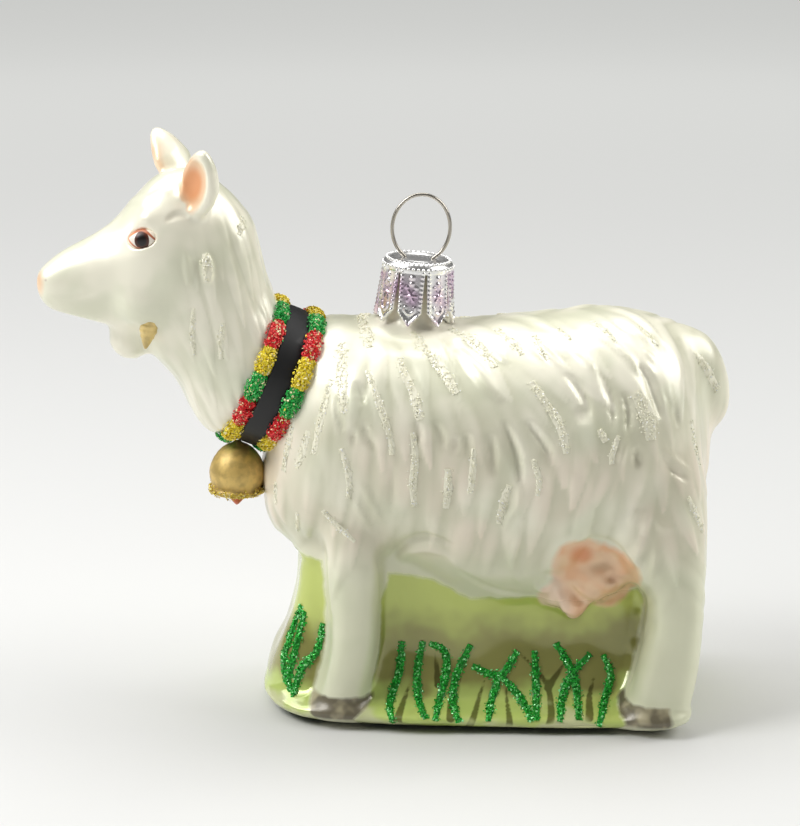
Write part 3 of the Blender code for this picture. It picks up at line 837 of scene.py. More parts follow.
# The crease that arches over the elbow, and the hollow of the thigh.
BODY_LINES = (
    Ridge(((0.6, 24.8), (3.6, 28.2), (7.2, 29.2), (11.4, 28.0)), 1.1, -0.8),
    Ridge(((2.2, 24.6), (4.4, 26.6), (7.4, 27.3), (11.0, 26.2)), 1.4, 0.35),
    Ridge(((11.0, 24.4), (17.0, 21.0), (23.0, 19.6), (28.0, 19.9)), 1.0, -0.25),
    # The frills of the teats and the folds between them.
    Ridge(((24.4, 22.6), (25.0, 20.8), (26.4, 20.3), (27.6, 21.6), (28.6, 21.8)), 0.7, 0.55),
    Ridge(((28.2, 21.0), (28.9, 18.9), (29.9, 17.2), (31.2, 16.6)), 0.7, 0.6),
    Ridge(((25.8, 23.4), (27.6, 22.8), (29.0, 21.2)), 0.9, -0.5),
    # The udder's rim, and its hollow.
    Ridge(((29.6, 22.8), (32.6, 20.2), (36.6, 18.9), (40.0, 20.0), (40.8, 23.0)), 1.3, 0.45),
    Ridge(((29.6, 26.2), (31.2, 28.2), (34.0, 28.8), (37.6, 27.6), (40.4, 24.6)), 1.0, -0.5),
    Ridge(((31.4, 25.0), (33.6, 26.4), (36.4, 25.8)), 1.5, 0.4),
    Ridge(((35.4, 22.6), (37.2, 22.4), (38.8, 21.8)), 1.1, -0.6),
    Ridge(((30.2, 21.6), (31.6, 19.4), (33.4, 18.4)), 1.0, -0.5),
)

# The coat's own deep grooves and sharp ridges: points, half width and height.
COAT_LINES = (
    (((-4.4, 54.3), (-3.6, 52.3), (-3.4, 50.5)), 0.9, -0.6),
    (((-7.5, 52.3), (-7.2, 49.3), (-6.4, 46.2)), 0.8, -0.5), (((-5.0, 47.0), (-4.6, 44.0)), 0.8, -0.5),
    (((5.2, 48.2), (5.8, 46.2), (5.5, 44.0)), 0.8, -0.55),
    (((8.0, 48.0), (9.2, 45.7), (9.8, 43.2)), 0.85, -0.6), (((11.5, 46.0), (11.6, 42.7)), 0.9, -0.5),
    (((13.3, 46.5), (13.4, 42.4)), 0.9, -0.5), (((17.1, 46.2), (17.3, 42.7), (17.6, 39.0)), 1.1, -0.7),
    (((-3.1, 48.2), (-2.6, 45.7), (-1.1, 43.4)), 0.8, -0.5),
    (((1.2, 41.7), (1.4, 37.6), (1.4, 32.6)), 0.9, -0.3),
    (((11.5, 61.3), (14.2, 59.6), (16.4, 57.4)), 1.5, -0.5),
    (((11.5, 59.6), (14.0, 57.3), (16.6, 53.8), (19.1, 50.8)), 1.6, 0.75),
    (((-4.6, 35.6), (-3.6, 33.1), (-1.6, 30.1)), 0.9, 0.45),
    (((-3.6, 38.4), (-2.1, 35.1), (-0.1, 31.3)), 0.9, 0.4),
    (((-10.3, 33.6), (-7.4, 31.1), (-4.6, 28.6)), 0.8, 0.35),
    (((19.0, 48.2), (20.8, 43.7), (21.5, 40.7), (21.8, 37.6)), 0.95, -0.95),
    (((21.8, 38.4), (21.5, 35.1), (20.0, 32.1), (19.0, 30.1)), 0.8, 0.5),
    (((22.6, 48.2), (24.8, 45.2), (26.3, 42.7), (26.7, 40.8)), 0.95, -0.9),
    (((28.4, 55.8), (30.1, 54.3), (31.9, 51.3), (32.7, 47.4)), 1.2, -0.9),
    (((33.2, 56.8), (34.9, 53.8), (36.3, 50.8), (36.3, 46.4)), 1.05, -0.9),
    (((38.2, 52.8), (39.0, 49.8), (38.8, 46.0)), 0.95, -0.8), (((30.9, 50.3), (31.6, 47.6)), 1.1, -0.6),
    (((40.2, 57.3), (42.0, 55.3), (43.0, 52.8), (44.5, 48.2)), 1.05, -0.85),
    (((40.2, 43.8), (40.4, 40.6)), 0.8, -0.7), (((44.0, 42.5), (46.5, 40.0), (48.8, 38.5)), 0.8, -0.45),
    (((44.3, 43.7), (47.0, 41.4), (49.3, 39.7)), 0.8, 0.5), (((46.6, 50.4), (47.2, 46.8)), 0.9, -0.4),
    (((24.4, 60.6), (27.0, 57.6), (28.4, 56.2)), 0.9, 0.4),
    (((28.9, 60.4), (31.6, 58.1), (33.7, 55.8), (35.7, 52.3)), 1.0, 0.6),
    (((41.7, 59.6), (43.5, 57.1)), 0.8, 0.5), (((37.2, 60.2), (39.5, 57.6), (41.2, 55.2)), 1.0, 0.5),
    (((38.7, 45.7), (38.0, 43.2), (37.2, 40.2)), 0.75, 0.5),
    (((33.7, 42.4), (32.9, 40.2), (33.2, 37.1)), 1.0, 0.35), (((29.9, 40.2), (30.1, 36.6)), 1.0, 0.3),
    (((27.1, 40.7), (26.8, 36.6)), 1.0, 0.3), (((42.7, 33.8), (41.5, 30.1)), 0.8, 0.5),
    (((40.5, 34.1), (39.5, 30.6)), 0.8, 0.45), (((43.6, 33.4), (44.2, 31.4), (46.5, 30.6)), 0.8, 0.4),
    (((22.6, 30.4), (21.0, 26.4), (21.3, 23.0), (22.6, 21.2)), 0.9, 0.5),
    (((42.0, 29.6), (40.6, 26.2), (41.2, 24.0)), 0.9, 0.5),
    (((44.0, 29.0), (43.6, 25.6), (42.8, 22.6)), 0.9, 0.45))

# The dark lines in the green glass, as (across, height) on the sight plane.
VEIN_LINES = (
    ((4.2, 4.5), (2.5, -1.0)), ((8.5, 9.5), (9.0, 4.5)), ((11.0, 4.5), (11.0, -0.5)),
    ((16.6, 5.0), (13.6, -3.0)), ((20.1, 4.0), (20.6, -3.0)), ((21.9, 10.3), (27.1, 4.0), (26.6, -3.0)),
    ((29.9, 8.0), (27.1, 4.0)), ((34.7, 5.8), (33.2, 0.0)))

LEGS = ("foreleg_left", "foreleg_right", "hindleg_left", "hindleg_right")
HOOVES = ("forehoof_left", "forehoof_right", "hindhoof_left", "hindhoof_right")


@dataclass
class BodySkin(Skin):
    """The skin over the trunk, tail, legs, hooves, udder and bank."""

    EDGE_X = (-20.0, -10.0, -3.0, 3.0, 8.0, 14.0, 22.0, 30.0, 40.0, 50.0)
    EDGE_Z = (28.0, 26.8, 26.0, 25.0, 24.0, 20.8, 20.9, 21.5, 21.8, 22.0)
    FOOT_HEIGHT, FOOT_DEPTH = 2.8, 5.0
    UDDER = (34.1, 23.0)          # the middle of the udder's painted patch
    COAT = ((2.9, 9.5), (7.5, 13.0), (1.6, 2.8), (0.24, 0.62))
    UNDERCOAT = ((2.1, 7.0), (5.0, 9.0), (0.75, 1.3), (0.05, 0.16))

    def dress(self) -> Surface:
        """Shapes the coat and stores the painted areas.

        Returns:
            The finished surface.
        """
        self.smooth(14)
        points = read_points(self.piece)
        areas, clear = self.areas(points), points[:, 2] > 2.0
        self.lift(np.full(len(points), -self.swell + 0.02))

        points, normals = read_points(self.piece), read_normals(self.piece)
        share = self.coat_share(points, areas["green"], areas["peach"])
        flow = body_flow(points, normals)
        coat = Coat(*self.COAT, seed=4)
        coat.lay(points, normals, flow, share)
        under = Coat(*self.UNDERCOAT, seed=9)
        under.lay(points, normals, flow, share)
        tall, over = coat.relief(points, normals)
        fine, fine_over = under.relief(points, normals)
        tall *= 0.62 + 0.38 * np.clip(waves(points, 19.0, 3), -1.0, 1.0)
        # Painted shade along the overlapped edge of each lock, stored for the finish.
        seam = smoothstep(over, 0.5, 0.95) * (tall > 0)
        seam = seam + 0.6 * smoothstep(fine_over, 0.5, 0.95) * (tall < 0.1)
        surface = Surface.of(self.piece)
        drawn = BODY_LINES + tuple(Ridge(*row, taper=0.5) for row in COAT_LINES)
        lines = sum(ridge.relief(points, surface) for ridge in drawn)
        glass = smoothstep(areas["green"], 0.0, 1.5)
        swells = 0.28 * waves(points, 13.0, 2) * glass + 0.12 * waves(points, 16.0, 5) * (1 - glass)
        sunk = 0.25 * smoothstep(share, 0.1, 0.6)
        self.lift(tall + 0.6 * fine * share - sunk + lines + swells * clear)
        self.smooth(1)
        self.undercut()
        self.store(areas | {
            "share": share, "veins": self.veins(points),
            "coat": np.clip((tall + 0.5 * fine) / 0.5, 0.0, 1.0),
            "seam": self.evened(np.clip(seam, 0.0, 1.0), 3)})
        return Surface.of(self.piece)

    def areas(self, points: np.ndarray) -> dict:
        """Where the green glass, the udder with its tones and painted hollow shade, and the hooves are.

        Args:
            points: The evened skin's vertices.

        Returns:
            One number per vertex for each area, above 0 inside.
        """
        to_leg, to_hoof, to_udder, to_bank, to_body = (
            Surface.of_node(*nodes).distance(points, 8.0)
            for nodes in (LEGS, HOOVES, ("udder",), ("grass_bank",), ("trunk", "tail")))
        x, y, z = points.T
        limbs, rest = np.minimum(to_leg, to_hoof), np.minimum(to_bank, to_body)
        edge = np.interp(x, self.EDGE_X, self.EDGE_Z) - z
        fore = 0.9 * smoothstep(x, -3.0, -1.0) * smoothstep(x, 12.0, 10.0) * smoothstep(z, 24.0, 20.0)
        green = np.minimum(edge, limbs + fore - rest)
        green = np.where(to_bank < 3.0, np.maximum(green, np.minimum(limbs - to_bank, edge)), green)
        green = green + 3.0 * smoothstep(z, 0.4, 0.1) * (limbs > 1.5)
        sight = self.sight_heights(points)
        ahead, up = x - self.UDDER[0], sight - self.UDDER[1]
        along, rise = 0.91 * ahead - 0.41 * up, 0.41 * ahead + 0.91 * up
        mound = 5.0 * (1.0 - (np.abs(along / 7.1) ** 2.4 + np.abs(rise / 4.9) ** 2.4) ** 0.42)
        peach = np.maximum(np.minimum(to_leg, rest) - to_udder, np.where(np.abs(y) > 8.0, mound, -3.0))
        hoof = np.minimum(to_leg, rest) - to_hoof
        front = np.where(x > 20.0, 46.4 - x, -0.9 - x)
        return {"green": green, "peach": peach, "hoof": np.minimum(hoof, 0.7 * front),
                "pale": smoothstep(x + 0.35 * (sight - 20.0), 31.2, 27.6),
                # Painted shade in the udder's hollow.
                "spot": np.exp(-(np.hypot((x - 37.3) / 1.4, sight - 22.3) / 0.9) ** 2),
                "dab": np.exp(-(np.hypot(x - 32.0, (sight - 26.3) / 0.8) / 1.9) ** 4)}

    @staticmethod
    def coat_share(points: np.ndarray, green: np.ndarray, peach: np.ndarray) -> np.ndarray:
        """How much coat each vertex carries.

        Args:
            points: The skin's vertices.
            green: How deep each lies in the green area.
            peach: How deep each lies in the udder.

        Returns:
            Shares from 0 to 1.
        """
        x, _, z = points.T
        share = smoothstep(z, 24.0, 31.0) * smoothstep(green, 0.5, -2.5)
        thigh = smoothstep(x, 30.0, 36.0) * smoothstep(z, 17.0, 27.0)
        share = np.maximum(share, thigh * smoothstep(green, 0.0, -2.0))
        share *= smoothstep(peach, 0.0, -1.5)
        turned = moved(points, pike_place().inverted())
        share *= smoothstep(np.hypot(turned[:, 0], turned[:, 1]), 6.5, 10.0)
        ahead = (points - np.array(head_turn() @ COLLAR_POINT)) @ neck_way()
        share *= smoothstep(ahead, -5.0, -8.5)
        return share * smoothstep(np.hypot((x - 7.0) / 5.5, (z - 26.5) / 4.0), 0.8, 1.4)

    @staticmethod
    def sight_heights(points: np.ndarray) -> np.ndarray:
        """The heights of places on the sight plane of their own side."""
        return (SIGHT_HEIGHT - np.abs(points[:, 1]) * math.sin(SIGHT_TILT)
                + (points[:, 2] - SIGHT_HEIGHT) * math.cos(SIGHT_TILT))

    def undercut(self) -> None:
        """Rounds the foot of the bank in toward the ground."""
        points = read_points(self.piece)
        low = np.clip(1.0 - points[:, 2] / self.FOOT_HEIGHT, 0.0, 1.0)
        inward = self.FOOT_DEPTH * (1.0 - np.sqrt(1.0 - low ** 2))
        inward -= 0.7 * np.exp(-((points[:, 2] - 2.9) / 1.2) ** 2)
        points[:, 0] -= inward * (points[:, 0] - 14.8) / 36.0
        points[:, 1] -= inward * points[:, 1] / 18.0
        write_points(self.piece, points)

    def veins(self, points: np.ndarray) -> np.ndarray:
        """Dark lines that show through the green glass.

        Args:
            points: The skin's vertices.

        Returns:
            The distance of each vertex from the nearest line.
        """
        flat = np.stack([points[:, 0], self.sight_heights(points)], 1)
        best = np.full(len(points), 5.0)
        for line in VEIN_LINES:
            places = curved(list(line), 0.5)
            widths = 0.15 + 0.5 * np.linspace(0.0, 1.0, len(places))
            reach = np.linalg.norm(flat[:, None] - places[None], axis=2) - widths[None]
            best = np.minimum(best, reach.min(1))
        return best


EYE_PLACE, EYE_RADII = Vector((-39.9, 7.0, 80.0)), Vector((2.4, 1.5, 1.45))
EYE_TURNS = {side: (Matrix.Rotation(side.value * 0.28, 3, "Z") @ Matrix.Rotation(-0.25, 3, "Y"))
             for side in Side}


def ear_frame(side: Side, foot: Vector, lean: float) -> tuple:
    """The middle and the axes of an ear, before the head's turn.

    Args:
        side: Which ear.
        foot: Where it stands on the head.
        lean: How far it leans back, in degrees.

    Returns:
        The middle, and a matrix whose columns run across, through and along the ear.
    """
    facing = Matrix.Rotation(math.radians(-90.0 - side.value * 45.0), 4, "Z")
    splay = Matrix.Rotation(-side.value * math.radians(20.0), 4, "X")
    place = (Matrix.Translation(foot) @ Matrix.Rotation(math.radians(lean), 4, "Y") @ splay
             @ Matrix.Translation((0.0, 0.0, 5.2)) @ facing)
    return place.translation, place.to_3x3()


EAR_FRAMES = {Side.LEFT: ear_frame(Side.LEFT, Vector((-31.7, -6.4, 84.2)), 9.0),
              Side.RIGHT: ear_frame(Side.RIGHT, Vector((-32.4, 6.4, 85.8)), -25.0)}


@dataclass
class HeadSkin(Skin):
    """The skin over the head, beard, neck and ears."""

    COAT = ((1.9, 8.0), (7.0, 11.0), (1.0, 1.6), (0.12, 0.24))

    def dress(self) -> Surface:
        """Shapes the head and stores the painted areas.

        Returns:
            The finished surface.
        """
        points = read_points(self.piece)
        to_ear = {side: Surface.of_node(f"ear_{side.word}").distance(points, 6.0) for side in Side}
        to_head = Surface.of_node("head").distance(points, 6.0)
        ear_area = np.maximum(*(smoothstep(to_head - reach, -0.2, 0.6) for reach in to_ear.values()))
        self.smooth(6)
        self.smooth(10, 1.0 - 0.9 * ear_area)
        self.lift(np.full(len(points), -self.swell + 0.02))
        points, normals = read_points(self.piece), read_normals(self.piece)
        own = moved(points, head_turn().inverted())
        share = self.hair_share(own, ear_area)
        coat = Coat(*self.COAT, seed=12)
        coat.lay(points, normals, neck_flow(points, normals), share)
        tall, _ = coat.relief(points, normals)
        surface = Surface.of(self.piece)
        lines = sum(ridge.relief(points, surface) for ridge in HEAD_LINES)
        eye = self.eye_reach(own)
        lid = 0.08 * np.exp(-((eye - 1.12) / 0.16) ** 2)
        self.lift(tall - 0.12 * share + lines + lid + 0.07 * waves(points, 9.0, 7))
        self.smooth(1)
        self.store({
            "coat": np.clip(tall / 0.22, 0.0, 1.0), "share": share, "lid": 1.3 - eye, "dots": self.dots(own),
            "peach": self.evened(self.peach_areas(own, normals, to_ear, ear_area), 4)})
        return Surface.of(self.piece)

    @staticmethod
    def hair_share(own: np.ndarray, ear_area: np.ndarray) -> np.ndarray:
        """How much hair each vertex carries.

        Args:
            own: The vertices before the head's turn.
            ear_area: Where the ears are.

        Returns:
            Shares from 0 to 1.
        """
        x, _, z = own.T
        share = smoothstep(x, -36.5, -31.5) * smoothstep(z, 84.0, 76.0)
        share = np.maximum(share, smoothstep(x, -30.0, -26.0) * smoothstep(z, 92.0, 86.0))
        share *= 1.0 - ear_area
        share = np.maximum(share, smoothstep(z, 61.0, 57.0) * smoothstep(x, -46.0, -34.0))
        ahead = (own - np.array(COLLAR_POINT)) @ np.array(COLLAR_AHEAD.normalized())
        return share * smoothstep(ahead, 5.0, 8.0)

    def eye_reach(self, own: np.ndarray) -> np.ndarray:
        """How far each vertex lies from the nearer eye, with the eye's own outline at 1.

        Args:
            own: The vertices before the head's turn.

        Returns:
            The distances.
        """
        best = np.full(len(own), 9.0)
        for side in Side:
            turn = EYE_TURNS[side]
            away = (own - np.array((EYE_PLACE.x, side.value * EYE_PLACE.y, EYE_PLACE.z))) @ np.array(turn)
            reach = np.hypot(away[:, 0] / EYE_RADII.x, away[:, 2] / EYE_RADII.z)
            best = np.where(np.abs(away[:, 1]) < 4.0, np.minimum(best, reach), best)
        return best

    def peach_areas(self, own: np.ndarray, normals: np.ndarray, to_ear: dict,
                    ear_area: np.ndarray) -> np.ndarray:
        """How deep each vertex lies in the peach areas: the ears' hollows and the nose.

        Args:
            own: The vertices before the head's turn.
            normals: Their normals after it.
            to_ear: The distance from each ear.
            ear_area: Where the ears are.

        Returns:
            Depths, above 0 inside.
        """
        back = np.array(head_turn().to_3x3().inverted())
        facing = normals @ back.T
        result = np.full(len(own), -3.0)
        for side, reach in to_ear.items():
            middle, axes = (np.array(part) for part in EAR_FRAMES[side])
            away, turned_to = (own - middle) @ axes, facing @ axes
            inside = 3.0 * (1.0 - np.hypot((away[:, 0] - 0.9 * side.value) / 2.9, (away[:, 2] + 0.4) / 5.0))
            depth = np.minimum(inside, 2.0 * (0.75 - turned_to[:, 1]))
            depth = np.minimum(depth, 5.0 * (ear_area - 0.2))
            result = np.maximum(result, depth)
        nose = 1.0 - np.linalg.norm((own - np.array((-56.2, -1.4, 71.6))) * (0.7, 0.8, 0.6), axis=1)
        return np.maximum(result, nose)

    def dots(self, own: np.ndarray) -> np.ndarray:
        """How close each vertex lies to the painted nostrils and the corner of the mouth.

        Args:
            own: The vertices before the head's turn.

        Returns:
            Shares from 0 to 1.
        """
        result = np.zeros(len(own))
        for side in Side:
            place = np.array((-55.0, side.value * 2.5, 72.4))
            result = np.maximum(result, np.exp(-(np.linalg.norm(own - place, axis=1) / 0.45) ** 2))
        return result


# ---- glitter


def between(at: np.ndarray, length: np.ndarray, rows: np.ndarray) -> np.ndarray:
    """Rows at places along a line, read between those at its own points."""
    return np.stack([np.interp(at, length, rows[:, axis]) for axis in range(3)], 1)


@dataclass
class Flakes:
    """Flakes of glitter, as small closed plates.

    Attributes:
        name: The piece's name.
        size: Shortest and longest side of a flake.
        seed: Seed of the random placing.
        tilt: How far the flakes lean out of the surface.
    """

    SIDES = 5
    name: str
    size: tuple
    seed: int
    tilt: float = 0.55
    places: list = field(default_factory=list)
    normals: list = field(default_factory=list)
    marks: list = field(default_factory=list)

    def strew(self, line: np.ndarray, normals: np.ndarray, width: float, density: float, mark: float = 0.0,
              depth: float = 0.35) -> None:
        """Strews flakes along a line.

        Args:
            line: The line on the surface.
            normals: Its normals.
            width: How far the flakes reach to each side.
            density: Flakes per square millimetre.
            mark: A number that the flakes carry.
            depth: How high the glue stands in the middle.
        """
        rng = np.random.default_rng(self.seed + len(self.places))
        steps = np.linalg.norm(np.diff(line, axis=0), axis=1)
        length = np.concatenate([[0.0], np.cumsum(steps)])
        count = max(int(length[-1] * 2 * width * density), 1)
        at = rng.uniform(0.0, length[-1], count)
        middle = between(at, length, line)
        up, ahead = unit(between(at, length, normals)), unit(between(at, length, np.gradient(line, axis=0)))
        over = np.clip(rng.normal(0.0, 0.58, count), -1.3, 1.3)
        share = at / max(length[-1], 1e-6)
        taper = 0.55 + 0.45 * np.sin(math.pi * np.clip(share, 0.06, 0.94)) ** 0.6
        rise = depth * np.sqrt(np.clip(1.0 - over ** 2, 0.0, 1.0)) * taper
        middle = middle + np.cross(up, ahead) * (over * width * taper)[:, None] + up * rise[:, None]
        self.places.append(middle)
        self.normals.append(unit(up + 0.9 * over[:, None] * np.cross(up, ahead)))
        self.marks.append(np.full(count, mark))

    def build(self) -> Object:
        """Makes the flakes.

        Returns:
            The piece, with each flake's random painted glint and shade value and its "mark".
        """
        rng = np.random.default_rng(self.seed + 999)
        places, normals = np.vstack(self.places), np.vstack(self.normals)
        marks = np.concatenate(self.marks)
        count = len(places)
        up = unit(normals + rng.normal(0.0, self.tilt, (count, 3)))
        across = unit(np.cross(up, rng.normal(size=(count, 3))))
        along = np.cross(up, across)
        sizes = rng.uniform(*self.size, (count, 1))
        long, wide, thick = 0.5 * sizes, 0.5 * sizes * rng.uniform(0.7, 1.0, (count, 1)), 0.16 * sizes
        sides = self.SIDES
        corners = []
        for k in range(sides):
            angle = math.tau * k / sides
            corners.append(across * long * math.cos(angle) + along * wide * math.sin(angle))
        points = np.stack([places + corner for corner in corners]
                          + [places + up * thick, places - up * thick], 1).reshape(-1, 3)
        base = np.arange(count) * (sides + 2)
        faces = []
        for k in range(sides):
            after = (k + 1) % sides
            faces.append(np.stack([base + k, base + after, base + sides], 1))
            faces.append(np.stack([base + after, base + k, base + sides + 1], 1))
        result = mesh_object(self.name, points, np.vstack(faces).tolist())
        # A random value per flake that sets its painted glint and shade.
        set_attribute(result, "tint", np.repeat(rng.uniform(0.0, 1.0, count), sides + 2))
        set_attribute(result, "mark", np.repeat(marks, sides + 2))
        LOG.info("%s: %d flakes", self.name, count)
        return result


# Lines painted with glitter glue, as (across, height) on the sight plane, and their half width.
WHITE_LINES = (
    (((-3.9, 65.4), (-3.1, 63.2), (-2.1, 59.9)), 0.85),
    (((-6.7, 60.6), (-6.7, 57.3), (-6.6, 54.0), (-6.2, 49.3)), 0.9),
    (((-8.4, 54.8), (-9.4, 50.8), (-10.4, 46.7), (-11.2, 42.7)), 0.65),
    (((-14.4, 50.3), (-15.0, 46.2), (-15.9, 42.2), (-16.2, 39.9)), 0.7),
    (((-12.1, 46.5), (-13.0, 43.2), (-14.0, 40.4)), 0.65),
    (((-2.6, 56.1), (-1.4, 52.8), (-0.1, 49.3), (1.2, 45.2), (1.4, 42.7)), 0.55),
    (((2.4, 58.1), (3.7, 54.8), (5.0, 51.8), (5.8, 48.2)), 0.7),
    (((4.5, 62.4), (6.5, 59.9), (8.7, 56.8), (10.5, 54.0), (11.5, 52.3)), 1.0),
    (((10.5, 62.9), (13.0, 61.9), (15.3, 59.9), (17.1, 57.6), (17.8, 56.6)), 0.75),
    (((-6.7, 43.7), (-5.9, 41.2), (-5.4, 38.4), (-5.6, 35.6)), 0.55),
    (((4.7, 46.2), (5.1, 42.2), (4.7, 38.1), (5.0, 34.4)), 0.6),
    (((10.3, 40.4), (10.3, 37.1), (10.0, 34.1)), 0.65), (((14.3, 43.7), (14.2, 40.2), (13.8, 36.4)), 0.5),
    (((20.0, 37.9), (19.0, 34.4), (18.5, 31.6)), 0.7), (((-9.9, 33.6), (-7.4, 31.1), (-4.6, 28.6)), 0.45),
    (((-17.6, 38.1), (-17.7, 34.6)), 0.5), (((-14.0, 33.1), (-14.1, 30.1)), 0.4),
    (((18.0, 63.0), (20.3, 61.1), (22.1, 58.6)), 0.65), (((24.1, 61.9), (25.3, 59.3), (26.2, 57.8)), 0.55),
    (((23.6, 54.3), (25.6, 51.3), (27.6, 48.0), (28.6, 45.2), (29.0, 42.9)), 0.7),
    (((33.7, 64.2), (35.4, 62.8), (37.2, 60.6)), 0.5), (((28.1, 62.9), (30.1, 61.1)), 0.4),
    (((41.0, 63.4), (42.5, 61.8), (44.0, 60.1)), 0.6),
    (((40.0, 52.5), (41.2, 50.5), (42.2, 47.7), (42.5, 45.0)), 1.15),
    (((50.6, 59.2), (52.6, 56.6), (54.6, 53.0)), 0.8), (((49.4, 48.2), (50.1, 44.5), (51.0, 40.9)), 0.55),
    (((48.8, 35.9), (50.4, 32.6), (51.4, 30.1)), 0.5), (((34.2, 46.7), (35.2, 44.7)), 0.6),
    (((37.2, 45.7), (36.3, 42.7), (36.2, 41.2)), 0.45), (((23.8, 41.9), (24.7, 38.7), (24.5, 36.1)), 0.45))

# The same on the neck.
NECK_LINES = (
    (((-28.2, 74.6), (-27.9, 72.3), (-27.9, 70.0)), 0.7),
    (((-22.6, 80.8), (-22.6, 79.4), (-23.0, 77.7)), 0.55),
    (((-25.7, 63.7), (-26.0, 60.5), (-26.1, 57.9)), 0.45),
    (((-30.2, 66.0), (-30.6, 62.0), (-30.4, 58.6)), 0.4))

# The blades of grass that are drawn with green glitter.
GREEN_LINES = (
    ((3.0, 11.6), (2.5, 6.5), (1.0, 1.5), (1.5, -1.2)), ((6.5, 11.6), (5.5, 6.5), (5.8, 2.0), (6.9, -0.6)),
    ((7.5, 11.3), (10.0, 10.0), (10.3, 6.5), (9.0, 1.5), (8.3, -0.9)),
    ((14.3, 11.1), (11.8, 5.5), (11.5, 1.5), (12.3, -1.2)), ((14.6, 7.5), (19.1, 6.0), (22.1, 10.0)),
    ((19.1, 6.0), (17.6, 1.5), (17.1, -1.0)), ((19.1, 6.0), (21.6, 3.5), (23.6, 0.5), (23.9, -1.0)),
    ((24.9, 10.0), (25.1, 4.0), (24.9, -0.8)), ((28.4, 11.3), (30.4, 8.0), (31.7, 4.5), (31.9, -0.8)),
    ((34.2, 9.5), (31.7, 7.0), (29.7, 3.5), (28.7, -1.0)),
    ((36.2, 9.3), (37.5, 6.0), (36.2, 1.5), (35.0, -1.8)),
    ((-13.7, 17.5), (-15.6, 12.0), (-16.7, 8.0), (-16.1, 4.3)),
    ((-13.1, 16.5), (-14.6, 10.5), (-15.8, 4.8), (-14.7, 2.6)),
    ((-10.1, 14.6), (-10.9, 10.2), (-13.6, 7.0), (-15.0, 2.6)))


@dataclass
class GlueLines:
    """Lines drawn with glitter glue on one side of the ornament.

    Attributes:
        name: The piece's name.
        lines: Each line's points, and its half width.
        side: The side that they are on.
        size: Shortest and longest side of a flake.
        density: Flakes per square millimetre.
        height: How high the glue stands.
        tilt: How far the flakes lean out of the surface.
    """

    SEEDS = {Side.LEFT: 31, Side.RIGHT: 57}
    name: str
    lines: tuple
    side: Side
    size: tuple
    density: float
    height: float
    tilt: float = 0.55

    def build(self, surface: Surface, slot: Slot, glue: Material, glitter: Material) -> None:
        """Makes the beads of glue and the flakes on them.

        Args:
            surface: What they are drawn on.
            slot: The slot of both; not used.
            glue: The glue's material.
            glitter: The flakes' material.
        """
        rng = np.random.default_rng(self.SEEDS[self.side])
        flakes = Flakes(f"{self.name}_flakes", self.size, 7 + self.side.value, self.tilt)
        beads = []
        for number, (line, width) in enumerate(self.lines):
            drawn = curved(list(line), 0.45)
            if self.side is Side.RIGHT:
                drawn = drawn + rng.normal(0.0, 0.6, 2)
            places, normals = surface.laid(drawn, self.side)
            if len(places) < 4:
                continue
            flakes.strew(places, normals, width, self.density, depth=self.height)
            share = np.linspace(0.0, 1.0, len(places))
            radii = 0.85 * width * (0.5 + 0.5 * np.sin(math.pi * np.clip(share, 0.08, 0.92)) ** 0.6)
            radii = radii * (1.0 + rng.uniform(-0.12, 0.12, len(places)))
            beads.append(sweep(f"{self.name}_{number}", places, radii, 8, normals, 0.6 * self.height / width))
        hand_over(joined(beads, f"{self.name}_glue"), glue)
        hand_over(flakes.build(), glitter, sharp=5.0)


# ---- the collar and the bell


